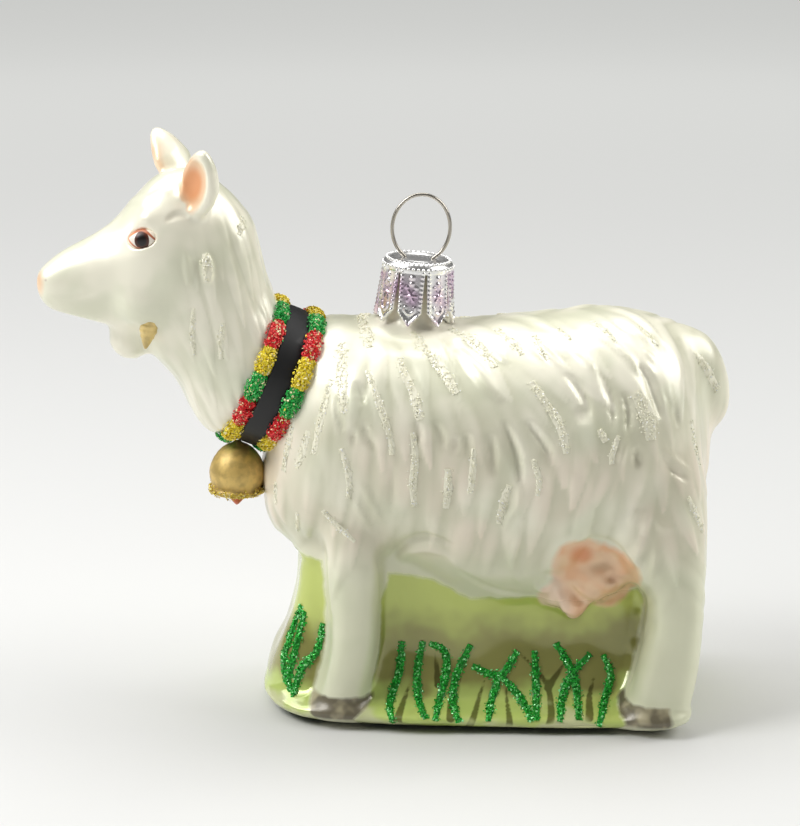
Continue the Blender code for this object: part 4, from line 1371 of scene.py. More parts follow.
@dataclass
class Collar:
    """The black band with a trim of coloured glitter on each side."""

    PHASE, BLOBS = 13.18, 14             # where the dabs of colour start, and how many go round
    OFFSETS = {"upper": 3.1, "lower": -3.1}
    SEEDS = {"upper": 5, "lower": 6}
    FLAKES, STRAY = 5200, 0.006          # flakes on a trim, and the share that fell on another dab
    THICKNESS = 0.75
    sides: int = 96

    def ring(self, node: str, offset: float, count: int) -> tuple:
        """The outer line of a collar node, at a distance from the collar's plane.

        Args:
            node: The CAD node.
            offset: How far along the neck.
            count: How many points go round.

        Returns:
            The middle, the unit ways out, and the smoothed distances.
        """
        surface = Surface.of_node(node)
        turn = head_turn()
        ahead = COLLAR_AHEAD.normalized()
        rise = Vector((ahead.z, 0.0, -ahead.x))
        origin = turn @ (COLLAR_POINT + ahead * offset)
        ways, reach = [], []
        for k in range(count):
            angle = math.tau * k / count
            way = turn.to_3x3() @ (Vector((0.0, math.cos(angle), 0.0)) + rise * math.sin(angle))
            hit = surface.tree.ray_cast(origin + way * 30.0, -way)
            ways.append(np.array(way))
            reach.append(30.0 - hit[3] if hit[3] is not None else reach[-1])
        reach = np.array(reach)
        for _ in range(count // 12):
            reach = (np.roll(reach, 1) + 2 * reach + np.roll(reach, -1)) / 4
        return np.array(origin), np.array(ways), reach

    def hoop(self, name: str, node: str, offset: float, half: float, heights: list) -> Object:
        """A closed hoop over a collar node.

        Args:
            name: The piece's name.
            node: The CAD node.
            offset: Its middle along the neck.
            half: Half its width.
            heights: Rises of its outer side, from one edge to the other.

        Returns:
            The hoop.
        """
        ahead = neck_way()
        origin, ways, reach = self.ring(node, offset, self.sides)
        rows = []
        for k, height in enumerate(heights):
            along = half * (2 * k / (len(heights) - 1) - 1)
            rows.append(origin + ahead * along + ways * (reach + height)[:, None])
        for along in (half, -half):
            rows.append(origin + ahead * along + ways * (reach - self.THICKNESS)[:, None])
        hoop = mesh_object(name, np.vstack(rows), wall_faces(len(rows), self.sides, closed=True))
        face_outward(hoop)
        return hoop

    def build(self, ribbon: Material, glue: Material, glitter: Material) -> None:
        """Makes the band, the trims and their glitter.

        Args:
            ribbon: The band's material.
            glue: The trims' base.
            glitter: The flakes' material.
        """
        band = self.hoop("collar_satin", "collar_band", 0.0, 1.85, [-0.05, 0.0, 0.0, -0.05])
        hand_over(band, ribbon, ("collar_band",))
        for word, offset in self.OFFSETS.items():
            node = f"collar_trim_{word}"
            base = self.hoop(f"trim_base_{word}", node, offset, 1.2, [-0.75, -0.35, -0.2, -0.35, -0.75])
            self.mark_base(base)
            hand_over(base, glue, (node,))
            flakes = self.trim_flakes(word, node, offset)
            hand_over(flakes, glitter, sharp=5.0)

    @classmethod
    def blob(cls, angle: np.ndarray) -> tuple:
        """The colour number of the dab at an angle round the neck, and the place within it from 0 to 1."""
        turns = (np.asarray(angle) / math.tau * cls.BLOBS + cls.PHASE) % cls.BLOBS
        return np.floor(turns) % 3, turns % 1.0

    def mark_base(self, base: Object) -> None:
        """Stores the colour number on a trim's base.

        Args:
            base: The trim's base.
        """
        turn = head_turn()
        own = (read_points(base) - np.array(turn @ COLLAR_POINT)) @ np.array(turn.to_3x3())
        ahead = COLLAR_AHEAD.normalized()
        rise = np.array((ahead.z, 0.0, -ahead.x))
        angle = np.arctan2(own @ rise, own[:, 1]) % math.tau
        tone, _ = self.blob(angle)
        set_attribute(base, "mark", tone)
        # A fixed share of the flakes' painted shade, which darkens the trim's base somewhat.
        set_attribute(base, "tint", np.full(len(own), 0.3))

    def trim_flakes(self, word: str, node: str, offset: float) -> Object:
        """Strews the flakes of one trim.

        Args:
            word: Which trim.
            node: Its CAD node.
            offset: Its middle along the neck.

        Returns:
            The flakes.
        """
        rng = np.random.default_rng(self.SEEDS[word])
        ahead = neck_way()
        origin, ways, reach = self.ring(node, offset, self.sides)
        count = self.FLAKES
        angle = rng.uniform(0.0, math.tau, count)
        over = np.clip(rng.normal(0.0, 0.62, count), -1.15, 1.15)
        at = angle / math.tau * self.sides
        low = np.floor(at).astype(int) % self.sides
        part = (at - np.floor(at))[:, None]
        way = unit(ways[low] * (1 - part) + ways[(low + 1) % self.sides] * part)
        far = reach[low] * (1 - part[:, 0]) + reach[(low + 1) % self.sides] * part[:, 0]
        tone, share = self.blob(angle + rng.normal(0.0, 0.012, count))
        swell = np.sin(math.pi * share)
        half = 1.0 + 0.42 * swell
        rise = -0.72 + (0.55 + 0.4 * swell) * np.sqrt(np.clip(1.0 - (over / 1.15) ** 2, 0.0, 1.0))
        rise += rng.uniform(-0.12, 0.2, count)
        flakes = Flakes(f"trim_flakes_{word}", (0.34, 0.56), 17 + count)
        flakes.places.append(origin + ahead * (over * half)[:, None] + way * (far + rise)[:, None])
        flakes.normals.append(unit(way + ahead * (0.8 * over)[:, None]))
        stray = rng.uniform(size=count) < self.STRAY
        flakes.marks.append(np.where(stray, rng.integers(0, 3, count), tone))
        return flakes.build()


@dataclass
class Bell:
    """The gilded bell under the collar and its copper clapper."""

    PLACE = Vector((-24.1, -0.8, 0.0))
    PROFILE = ((0.0, 45.0), (0.5, 44.95), (0.9, 44.6), (1.8, 44.2), (2.6, 43.65), (3.3, 42.9),
               (3.9, 42.0), (4.3, 41.1), (4.55, 40.3), (4.62, 39.5), (4.55, 38.7), (4.35, 38.0),
               (4.12, 37.5), (4.08, 37.2),
               (4.3, 36.95), (4.55, 36.6), (4.5, 36.3), (4.1, 36.1), (2.4, 36.2), (0.0, 36.25))
    CLAPPER = ((0.0, 36.5), (1.2, 36.3), (1.45, 35.8), (1.3, 35.2), (0.85, 34.6), (0.4, 34.1), (0.0, 33.8))
    RIM_RADIUS, RIM_HEIGHT, RIM_POINTS = 4.42, 36.75, 90

    def build(self, gold: Material, copper: Material, glitter: Material) -> None:
        """Makes the bell, its clapper and its glitter rim.

        Args:
            gold: The bell's material.
            copper: The clapper's material.
            glitter: The rim's flakes.
        """
        place = head_turn() @ Matrix.Translation(self.PLACE)
        shell = lathe("bell_gilt", list(self.PROFILE), 64, place)
        hand_over(shell, gold, ("bell",))
        clapper = lathe("clapper_drop", list(self.CLAPPER), 32, place)
        hand_over(clapper, copper, ("bell_clapper",))
        angles = np.linspace(0.0, math.tau, self.RIM_POINTS)
        across, through, level = np.cos(angles), np.sin(angles), np.ones(self.RIM_POINTS)
        ring = np.stack([self.RIM_RADIUS * across, self.RIM_RADIUS * through, self.RIM_HEIGHT * level], 1)
        out = np.stack([across, through, -0.1 * level], 1) @ np.array(place.to_3x3()).T
        flakes = Flakes("bell_rim_flakes", (0.28, 0.42), 71)
        flakes.strew(moved(ring, place), unit(out), 0.75, 16.0, depth=0.25)
        hand_over(flakes.build(), glitter, sharp=5.0)


# ---- eyes and wattles


@dataclass
class Eyes:
    """The two eyes, each an almond of glass."""

    TILT = 0.3

    def build(self, material: Material) -> None:
        """Makes both eyes.

        Args:
            material: Their material.
        """
        for side in Side:
            bpy.ops.mesh.primitive_uv_sphere_add(segments=48, ring_count=32, radius=1.0)
            eye = bpy.context.active_object
            eye.name = f"eyeball_{side.word}"
            own = read_points(eye)
            across, rise = own[:, 0] * EYE_RADII.x, own[:, 2] * EYE_RADII.z
            set_attribute(eye, "along", across * math.cos(self.TILT) - rise * math.sin(self.TILT))
            set_attribute(eye, "rise", across * math.sin(self.TILT) + rise * math.cos(self.TILT))
            place = head_turn() @ Matrix.Translation((EYE_PLACE.x, side.value * EYE_PLACE.y, EYE_PLACE.z))
            size = Matrix.Diagonal((EYE_RADII.x * 1.05, EYE_RADII.y, EYE_RADII.z * 1.08, 1.0))
            eye.data.transform(place @ EYE_TURNS[side].to_4x4() @ size)
            hand_over(eye, material, (f"eye_{side.word}",))


@dataclass
class Wattles:
    """The two gilded, ringed wattles beside the beard."""

    PLACE = Vector((-39.5, 6.0, 61.9))
    LEAN = 0.16

    def build(self, gold: Material) -> None:
        """Makes both wattles.

        Args:
            gold: Their material.
        """
        for side in Side:
            profile = [(0.0, -0.1)]
            for k in range(40):
                share = k / 39
                body = 0.2 + 1.5 * math.sin(min(share / 0.82, 1.0) * math.pi / 2) ** 0.9
                if share > 0.86:
                    body *= 1 - 0.28 * (share - 0.86) / 0.14
                ring = 0.045 * math.cos(share * math.tau * 6.5) * smoothstep(share, 0.1, 0.35)
                profile.append((body + float(ring), 6.2 * share))
            profile.append((0.0, 6.5))
            place = Matrix.Translation((self.PLACE.x, side.value * self.PLACE.y, self.PLACE.z))
            lean = Matrix.Rotation(self.LEAN, 4, "Y")
            wattle = lathe(f"wattle_gilt_{side.word}", profile, 32, head_turn() @ place @ lean)
            hand_over(wattle, gold, (f"wattle_{side.word}",))


# ---- the cap and its wire


def bump(reach: np.ndarray, width: float) -> np.ndarray:
    """A round rise that falls from 1 in the middle to 0 at its half width."""
    return np.clip(1.0 - (reach / width) ** 2, 0.0, 1.0)


@dataclass
class Cap:
    """The crown cap: a thin cup of embossed petals, beaded along its edges."""

    TOP, HEIGHT = 75.6, 10.2
    RADIUS_TOP, RADIUS_RIM = 5.6, 6.55
    PETALS, TIP = 8, 2.3                 # how many, and the height of a petal's point
    TURN = math.radians(-9.0)            # of the first petal round the axis
    WALL = 0.42
    BEAD_PITCH, BEAD_SIZE = 0.72, 0.27
    STAR, ARCH, CURL = 5.2, 7.4, 3.9     # how far below the top they stand on a petal
    DOTS = (2.3, 3.3)
    CROWN = ((0.0, -1.4), (5.1, -1.4), (5.25, -1.75), (5.72, -1.7), (5.86, -1.1), (5.72, -0.62), (5.3, -0.22),
             (4.85, 0.0), (4.3, 0.03), (3.9, -0.28), (3.2, -0.32), (2.9, -0.1), (1.2, -0.1), (0.0, -0.1))
    BEAD_RINGS = ((40, 5.15, -0.1), (44, 5.75, -0.95))

    def radius(self, height: np.ndarray) -> np.ndarray:
        """The cap's outer radius at a height."""
        share = np.clip((self.TOP - height) / self.HEIGHT, 0.0, 1.0)
        return self.RADIUS_TOP + (self.RADIUS_RIM - self.RADIUS_TOP) * share

    def half_angle(self, height: np.ndarray) -> np.ndarray:
        """Half the angle that a petal takes, down to its point.

        Args:
            height: Where.

        Returns:
            The half angle there.
        """
        rim = self.TOP - self.HEIGHT
        full = math.pi / self.PETALS
        slit = np.interp(height, (rim + self.TIP, self.TOP - 1.7), (0.5, 0.2)) / self.RADIUS_RIM
        pointed = np.clip((height - rim) / self.TIP, 0.0, 1.0)
        return (full - slit) * np.minimum(pointed + 0.06, 1.0)

    def emboss(self, across: np.ndarray, height: np.ndarray) -> np.ndarray:
        """The raised pattern of a petal: an arch, a star of spokes, dots and a leaf.

        Args:
            across: The distance from the petal's middle line.
            height: The height on the cap.

        Returns:
            How far the metal stands out.
        """
        drop = self.TOP - height
        away, angle = np.hypot(across, drop - self.STAR), np.arctan2(drop - self.STAR, across)
        spokes = bump(np.abs(np.sin(angle * 3.0)) * away, 0.24) * (away < 1.05) * (away > 0.3)
        result = 0.24 * spokes + 0.26 * bump(away, 0.36)
        arch = np.abs(np.hypot(across, np.maximum(drop - self.ARCH, 0.0)) - 0.75)
        result = np.maximum(result, 0.22 * bump(arch, 0.25) * (drop > 6.9) * (drop < 8.3))
        for place in self.DOTS:
            result = np.maximum(result, 0.24 * bump(np.hypot(across, drop - place), 0.42))
        for side in (-0.75, 0.75):
            result = np.maximum(result, 0.16 * bump(np.hypot(across - side, drop - self.CURL), 0.3))
        return result

    def petal(self, number: int, columns: int = 26, rows: int = 62) -> tuple:
        """The points and faces of one petal.

        Args:
            number: Which petal.
            columns: Faces across it.
            rows: Faces along it.

        Returns:
            Points and faces.
        """
        rim = self.TOP - self.HEIGHT
        heights = np.linspace(self.TOP - 1.2, rim + 0.02, rows + 1)
        shares = np.linspace(-1.0, 1.0, columns + 1)
        grid_z, grid_s = np.meshgrid(heights, shares, indexing="ij")
        angle = grid_s * self.half_angle(grid_z)
        turned = angle + (math.tau * number / self.PETALS + self.TURN)
        radius = self.radius(grid_z)
        across = angle * radius
        edge = (1.0 - np.abs(grid_s)) * self.half_angle(grid_z) * radius
        beads = 0.5 + 0.5 * np.cos(grid_z * math.tau / self.BEAD_PITCH)
        border = bump(edge - 0.32, 0.3) * (0.10 + 0.16 * beads)
        tips = np.clip((grid_z - rim - 0.4) / 0.5, 0.0, 1.0)
        height = np.maximum(border, self.emboss(across, grid_z) * tips)
        dish = 0.22 * smoothstep(edge, 0.5, 1.2)
        points = np.vstack([
            np.stack([face * np.cos(turned), face * np.sin(turned), grid_z], -1).reshape(-1, 3)
            for face in (radius + height - dish * 0.5, radius - self.WALL)])
        wide, total = columns + 1, (columns + 1) * (rows + 1)
        faces = []
        for row in range(rows):
            for k in range(columns):
                a = row * wide + k
                faces.append((a, a + 1, a + wide + 1, a + wide))
                faces.append((total + a, total + a + wide, total + a + wide + 1, total + a + 1))
        border_line = (list(range(columns)) + [row * wide + columns for row in range(rows)]
                       + [rows * wide + k for k in range(columns, 0, -1)]
                       + [row * wide for row in range(rows, 0, -1)])
        for k, index in enumerate(border_line):
            after = border_line[(k + 1) % len(border_line)]
            faces.append((index, total + index, total + after, after))
        return points, faces

    def build(self, silver: Material) -> None:
        """Makes the cap.

        Args:
            silver: Its material.
        """
        points, faces, start = [], [], 0
        for number in range(self.PETALS):
            some, their = self.petal(number)
            points.append(some)
            faces += [[index + start for index in face] for face in their]
            start += len(some)
        skirt = mesh_object("cap_petals", np.vstack(points), faces)
        face_outward(skirt)
        crown = lathe("cap_crown", [(radius, self.TOP + rise) for radius, rise in self.CROWN], 96)
        parts = [skirt, crown]
        for ring, radius, rise in self.BEAD_RINGS:
            for k in range(ring):
                angle = math.tau * k / ring
                bpy.ops.mesh.primitive_ico_sphere_add(
                    subdivisions=2, radius=self.BEAD_SIZE,
                    location=(radius * math.cos(angle), radius * math.sin(angle), self.TOP + rise))
                parts.append(bpy.context.active_object)
        piece = joined(parts, "crown_cap")
        bpy.ops.object.transform_apply(location=True, rotation=True, scale=True)
        piece.data.transform(pike_place())
        hand_over(piece, silver, ("cap",), sharp=70.0)


@dataclass
class WireLoop:
    """The sprung wire that hangs the ornament."""

    TOP, CAP_TOP, FOOT = 86.0, 75.6, 68.6
    HALF_WIDTH, SPREAD, RADIUS = 4.7, 2.2, 0.3

    def build(self, steel: Material) -> None:
        """Makes the wire.

        Args:
            steel: Its material.
        """
        half = (self.TOP - self.CAP_TOP) / (1 + math.sqrt(1 - (self.SPREAD / self.HALF_WIDTH) ** 2))
        middle = self.TOP - half
        start = math.asin(self.SPREAD / self.HALF_WIDTH)
        turns = np.linspace(start + 0.08, math.tau - start - 0.08, 96)
        arch = [(-self.HALF_WIDTH * math.sin(a), middle - half * math.cos(a)) for a in turns]
        leg = [(-self.SPREAD - 0.4, self.FOOT), (-self.SPREAD - 0.3, 71.0),
               (-self.SPREAD - 0.15, self.CAP_TOP - 2.0), (-self.SPREAD, self.CAP_TOP - 0.3)]
        route = leg + arch + [(-x, z) for x, z in leg[::-1]]
        line = curved(route, 0.25)
        line = np.array([pike_place() @ Vector((x, 0.0, z)) for x, z in line])
        wire = sweep("hanging_wire", line, np.full(len(line), self.RADIUS), 16)
        hand_over(wire, steel, ("hanging_loop",), sharp=80.0)


# ---- materials


class Graph:
    """Short ways to build a node tree.

    Attributes:
        tree: The node tree.
    """

    def __init__(self, tree: NodeTree) -> None:
        """Wraps a node tree."""
        self.tree = tree

    def node(self, kind: str, inputs: dict | None = None, **settings: object) -> Node:
        """Adds a node.

        Args:
            kind: The node's type, without its ShaderNode prefix.
            inputs: Values or sockets by input name or number.
            **settings: The node's own settings.

        Returns:
            The node.
        """
        node = self.tree.nodes.new(f"ShaderNode{kind}")
        for key, value in settings.items():
            setattr(node, key, value)
        for key, value in (inputs or {}).items():
            if isinstance(value, NodeSocket):
                self.tree.links.new(value, node.inputs[key])
            else:
                node.inputs[key].default_value = value
        return node

    def math(self, operation: str, a: object, b: object = 0.0) -> NodeSocket:
        """Works out two values."""
        return self.node("Math", {0: a, 1: b}, operation=operation).outputs[0]

    def times(self, a: object, b: object) -> NodeSocket:
        """Multiplies two values."""
        return self.math("MULTIPLY", a, b)

    def step(self, value: object, low: float, high: float) -> NodeSocket:
        """Rises smoothly from 0 at low to 1 at high."""
        inputs = {"Value": value, "From Min": low, "From Max": high}
        return self.node("MapRange", inputs, interpolation_type="SMOOTHSTEP").outputs[0]

    def mix(self, share: object, a: object, b: object) -> NodeSocket:
        """Mixes a share of colour b into colour a."""
        return self.node("Mix", {0: share, 6: a, 7: b}, data_type="RGBA").outputs[2]

    def where(self) -> NodeSocket:
        """The place on the object."""
        return self.node("TexCoord").outputs["Object"]

    def place(self) -> list:
        """The place on the object, as separate X, Y and Z."""
        return self.node("SeparateXYZ", {0: self.where()}).outputs

    def length(self, vector: NodeSocket) -> NodeSocket:
        """How long a vector is."""
        return self.node("VectorMath", {0: vector}, operation="LENGTH").outputs["Value"]

    def noise(self, size: float, detail: float = 2.0) -> NodeSocket:
        """A cloudy value round 0.5, whose features have a size in millimetres."""
        inputs = {"Vector": self.where(), "Scale": 1.0 / (size * MM), "Detail": detail}
        return self.node("TexNoise", inputs).outputs["Fac"]

    def attribute(self, name: str) -> NodeSocket:
        """A stored vertex value."""
        return self.node("Attribute", attribute_name=name).outputs["Fac"]


def linear(value: float) -> float:
    """The linear light of a display value from 0 to 255."""
    share = value / 255.0
    return share / 12.92 if share <= 0.04045 else ((share + 0.055) / 1.055) ** 2.4


def colour(red: float, green: float, blue: float) -> tuple:
    """A colour in linear light, with alpha, from display values from 0 to 255."""
    return (linear(red), linear(green), linear(blue), 1.0)


def ragged_group() -> NodeTree:
    """The node group that turns a signed distance into a soft, ragged mask.

    Returns:
        The group, with Distance, Raggedness and Softness in and Mask out.
    """
    known = bpy.data.node_groups.get("ragged_edge")
    if known:
        return known
    group = bpy.data.node_groups.new("ragged_edge", "ShaderNodeTree")
    for name, default in (("Distance", 0.0), ("Raggedness", 0.6), ("Softness", 0.5)):
        socket = group.interface.new_socket(name, in_out="INPUT", socket_type="NodeSocketFloat")
        socket.default_value = default
    group.interface.new_socket("Mask", in_out="OUTPUT", socket_type="NodeSocketFloat")
    graph = Graph(group)
    inside = group.nodes.new("NodeGroupInput")
    outside = group.nodes.new("NodeGroupOutput")
    swing = graph.math("SUBTRACT", graph.noise(2.2, 4.0), 0.5)
    wander = graph.times(swing, graph.times(inside.outputs["Raggedness"], 2.0))
    edge = graph.math("ADD", inside.outputs["Distance"], wander)
    share = graph.math("ADD", graph.math("DIVIDE", edge, inside.outputs["Softness"]), 0.5)
    clamped = graph.node("Clamp", {0: share}).outputs[0]
    group.links.new(clamped, outside.inputs["Mask"])
    return group


def ragged(graph: Graph, name: str, raggedness: float, softness: float) -> NodeSocket:
    """A mask from a stored distance.

    Args:
        graph: The tree that it goes in.
        name: The stored distance.
        raggedness: How far its edge wanders, in millimetres.
        softness: How soft its edge is, in millimetres.

    Returns:
        The mask.
    """
    node = graph.tree.nodes.new("ShaderNodeGroup")
    node.node_tree = ragged_group()
    graph.tree.links.new(graph.attribute(name), node.inputs["Distance"])
    node.inputs["Raggedness"].default_value = raggedness
    node.inputs["Softness"].default_value = softness
    return node.outputs["Mask"]


@dataclass(frozen=True)
class Finish:
    """A material's plain values; the finishes made from it paint what changes over the surface.

    Attributes:
        name: The material's name.
        base: Its base colour.
        roughness: How rough it is.
        metallic: How metallic it is.
        coat: The weight of its clear coat.
        coat_roughness: How rough the coat is.
        emission: The strength of the light that it gives.
    """

    name: str
    base: tuple
    roughness: float = 0.25
    metallic: float = 0.0
    coat: float = 0.0
    coat_roughness: float = 0.05
    emission: float = 0.0

    def material(self) -> Material:
        """Makes the material.

        Returns:
            It, with its Principled node set and painted.
        """
        material = bpy.data.materials.new(self.name)
        material.use_nodes = True
        surface = material.node_tree.nodes["Principled BSDF"]
        plain = {"Base Color": self.base, "Roughness": self.roughness, "Metallic": self.metallic,
                 "Coat Weight": self.coat, "Coat Roughness": self.coat_roughness,
                 "Emission Strength": self.emission}
        for key, value in plain.items():
            surface.inputs[key].default_value = value
        for key, socket in self.paint(Graph(material.node_tree)).items():
            material.node_tree.links.new(socket, surface.inputs[key])
        return material

    def paint(self, graph: Graph) -> dict:
        """What feeds the shader's inputs; nothing does on a plain finish."""
        return {}


WARM_WHITE, COOL_WHITE = colour(252, 248, 228), colour(234, 234, 210)
# Painted light on the pearl: a green reflection low down, shade on locks' overlapped edges and in grooves.
LOW_REFLECTION, LOCK_SHADE, GROOVE_SHADE = colour(216, 219, 186), colour(182, 182, 150), colour(206, 206, 178)
# The first is a painted reflection on the pearl's mid flank; peach and orange are paint.
FLANK_REFLECTION, PEACH, ORANGE = colour(240, 226, 206), colour(243, 206, 168), colour(236, 162, 108)
# An orange dab and pale teats, then painted shade for the udder's hollow.
DAB_ORANGE, TEAT_PALE, UDDER_SHADE = colour(224, 142, 92), colour(246, 226, 204), colour(196, 138, 104)
# Lime is the glass; the olive and the lower green are painted reflections of the room and the floor.
LIME, OLIVE_REFLECTION, FLOOR_REFLECTION = colour(200, 212, 114), colour(154, 152, 88), colour(196, 214, 120)
# A painted highlight on the lip, a painted shadow under the foot, and strokes seen through the glass.
PALE_LIP_HIGHLIGHT, FOOT_SHADOW, VEIN_BROWN = colour(214, 218, 168), colour(70, 92, 40), colour(70, 66, 22)
HOOF_BROWN, HOOF_PALE = colour(98, 88, 68), colour(176, 166, 134)
LID_TAN, DOT_BROWN = colour(238, 206, 178), colour(150, 110, 96)
EYE_WHITE, EYE_BLACK, EYE_BROWN = colour(246, 238, 226), colour(20, 9, 6), colour(78, 36, 22)
EYE_RIM, EYE_CORNER, EYE_SKIN = colour(190, 112, 78), colour(232, 150, 104), colour(250, 240, 222)
GILT_HOLLOW, CAP_MAUVE, BLACK = (0.05, 0.03, 0.0, 1.0), colour(212, 188, 210), (0.0, 0.0, 0.0, 1.0)


def pearl(graph: Graph, groove_edge: float, groove_share: float) -> tuple:
    """The pearl white, with painted shade that greys it in the coat's grooves.

    Args:
        graph: The tree that it goes in.
        groove_edge: The coat height where a groove begins.
        groove_share: How much painted shade greys the grooves.

    Returns:
        The white, and the share of painted shade in the grooves.
    """
    white = graph.mix(graph.step(graph.noise(9.0, 2.0), 0.4, 0.65), WARM_WHITE, COOL_WHITE)
    # Painted shade where the coat is low, in its grooves.
    groove = graph.times(graph.step(graph.attribute("coat"), groove_edge, 0.0), graph.attribute("share"))
    return white, graph.times(groove, groove_share)


@dataclass(frozen=True)
class BodyFinish(Finish):
    """Pearl white over silvered glass, with green, peach and brown areas.

    Attributes:
        glass_roughness: How rough the bare green glass is.
    """

    glass_roughness: float = 0.13

    def paint(self, graph: Graph) -> dict:
        """Paints the areas one over the other.

        Args:
            graph: The material's tree.

        Returns:
            The colour and the roughness.
        """
        place = graph.place()
        white, groove = pearl(graph, 0.55, 0.6)
        # Painted reflection of the green bank tints the lower body grey-green, partly a thinner lacquer
        # there.
        white = graph.mix(graph.times(graph.step(place[2], 0.040, 0.020), 0.7), white, LOW_REFLECTION)
        # Painted reflection of the dim room: a pinkish band over the mid flank, in clouds.
        flank = graph.times(graph.step(place[2], 0.056, 0.044), graph.step(place[2], 0.026, 0.034))
        flank_reflection_mask = graph.times(flank, graph.step(graph.noise(14.0, 1.0), 0.36, 0.6))
        white = graph.mix(graph.times(flank_reflection_mask, 0.7), white, FLANK_REFLECTION)
        # Painted shade greys the coat's grooves.
        white = graph.mix(groove, white, GROOVE_SHADE)
        # Painted shade along the overlapped edge of each lock.
        seam = graph.times(graph.attribute("seam"), graph.attribute("share"))
        white = graph.mix(graph.times(seam, 0.3), white, LOCK_SHADE)
        mask = ragged(graph, "green", 0.5, 0.9)
        painted = graph.mix(mask, white, self.glass_colour(graph, place))
        painted = graph.mix(ragged(graph, "peach", 0.45, 0.7), painted, self.udder_colour(graph))
        hoof = graph.mix(graph.step(graph.noise(4.0, 2.0), 0.46, 0.66), HOOF_BROWN, HOOF_PALE)
        hoof_mask = graph.times(ragged(graph, "hoof", 0.25, 0.6), graph.step(place[2], 0.0014, 0.0024))
        painted = graph.mix(graph.times(hoof_mask, 0.92), painted, hoof)
        inputs = {0: mask, 2: self.roughness, 3: self.glass_roughness}
        rough = graph.node("Mix", inputs, data_type="FLOAT").outputs[0]
        return {"Base Color": painted, "Roughness": rough}

    @staticmethod
    def udder_colour(graph: Graph) -> NodeSocket:
        """The udder: cloudy peach with a dab of orange, pale teats and painted shade in its hollow.

        Args:
            graph: The tree that it goes in.

        Returns:
            The colour.
        """
        peach = graph.mix(graph.times(graph.step(graph.noise(4.0, 1.0), 0.42, 0.66), 0.45), PEACH, ORANGE)
        # The orange dab and pale teats are paint; the darker peach is painted shade in the udder's hollow.
        for name, share, tone in (("dab", 0.85, DAB_ORANGE), ("pale", 0.75, TEAT_PALE),
                                  ("spot", 0.5, UDDER_SHADE)):
            peach = graph.mix(graph.times(graph.attribute(name), share), peach, tone)
        return peach

    @staticmethod
    def glass_colour(graph: Graph, place: list) -> NodeSocket:
        """Lime glass with painted reflections in olive and pale bands and a painted shadow at the foot.

        Args:
            graph: The tree that it goes in.
            place: The place as separate X, Y and Z.

        Returns:
            The colour.
        """
        wander = graph.times(graph.math("SUBTRACT", graph.noise(7.0, 2.0), 0.5), 0.012)
        height = graph.math("ADD", place[2], wander)
        # Painted reflection of the dim room darkens the middle of the glass to olive.
        green = graph.mix(graph.step(height, 0.020, 0.013), LIME, OLIVE_REFLECTION)
        # Painted reflection of the floor lightens the glass lower down.
        green = graph.mix(graph.step(height, 0.008, 0.0045), green, FLOOR_REFLECTION)
        # The cream lip at the foot, lightened by a painted highlight.
        green = graph.mix(graph.step(height, 0.0035, 0.001), green, PALE_LIP_HIGHLIGHT)
        # Painted shadow: a dark green line at the very foot.
        green = graph.mix(graph.step(place[2], 0.0016, 0.0006), green, FOOT_SHADOW)
        near = graph.step(graph.attribute("veins"), 0.2, -0.1)
        vein = graph.times(near, graph.step(height, 0.0015, 0.003))
        return graph.mix(graph.times(vein, 0.8), green, VEIN_BROWN)


@dataclass(frozen=True)
class HeadFinish(Finish):
    """Pearl white with peach ears and nose, and painted lids."""

    def paint(self, graph: Graph) -> dict:
        """Paints the areas one over the other.

        Args:
            graph: The material's tree.

        Returns:
            The colour.
        """
        white, groove = pearl(graph, 0.5, 0.4)
        # Painted shade greys the coat's grooves.
        white = graph.mix(groove, white, GROOVE_SHADE)
        peach = graph.mix(graph.step(graph.attribute("peach"), 0.5, 1.9), PEACH, ORANGE)
        painted = graph.mix(ragged(graph, "peach", 0.2, 0.9), white, peach)
        lid = graph.times(graph.step(graph.attribute("lid"), 0.1, 0.35), 0.25)
        painted = graph.mix(lid, painted, LID_TAN)
        return {"Base Color": graph.mix(graph.step(graph.attribute("dots"), 0.3, 0.7), painted, DOT_BROWN)}


@dataclass(frozen=True)
class EyeFinish(Finish):
    """A white almond with a dark brown oval, an orange corner and a brown outline.

    Attributes:
        half_length: Half the almond's length in millimetres.
        half_height: Half its height.
        iris: The half width and half height of the oval.
    """

    half_length: float = 2.15
    half_height: float = 1.32
    iris: tuple = (1.12, 1.4)

    def paint(self, graph: Graph) -> dict:
        """Paints the eye from its middle to its lids.

        Args:
            graph: The material's tree.

        Returns:
            The colour.
        """
        along, rise = graph.attribute("along"), graph.attribute("rise")
        share = graph.times(along, 1.0 / self.half_length)
        arch = graph.math("SUBTRACT", 1.0, graph.math("POWER", graph.math("ABSOLUTE", share), 1.7))
        lid = graph.math("SUBTRACT", graph.times(arch, self.half_height), graph.math("ABSOLUTE", rise))
        across = graph.times(graph.math("SUBTRACT", along, 0.1), 1.0 / self.iris[0])
        reach = graph.length(graph.node(
            "CombineXYZ", {0: across, 1: graph.times(rise, 1.0 / self.iris[1])}).outputs[0])
        iris = graph.mix(graph.step(reach, 0.45, 0.9), EYE_BLACK, EYE_BROWN)
        painted = graph.mix(graph.step(reach, 1.04, 0.96), EYE_WHITE, iris)
        rim = graph.mix(graph.step(along, -0.9, -1.7), EYE_RIM, EYE_CORNER)
        painted = graph.mix(graph.step(lid, 0.14, 0.0), painted, rim)
        return {"Base Color": graph.mix(graph.step(lid, -0.22, -0.38), painted, EYE_SKIN)}


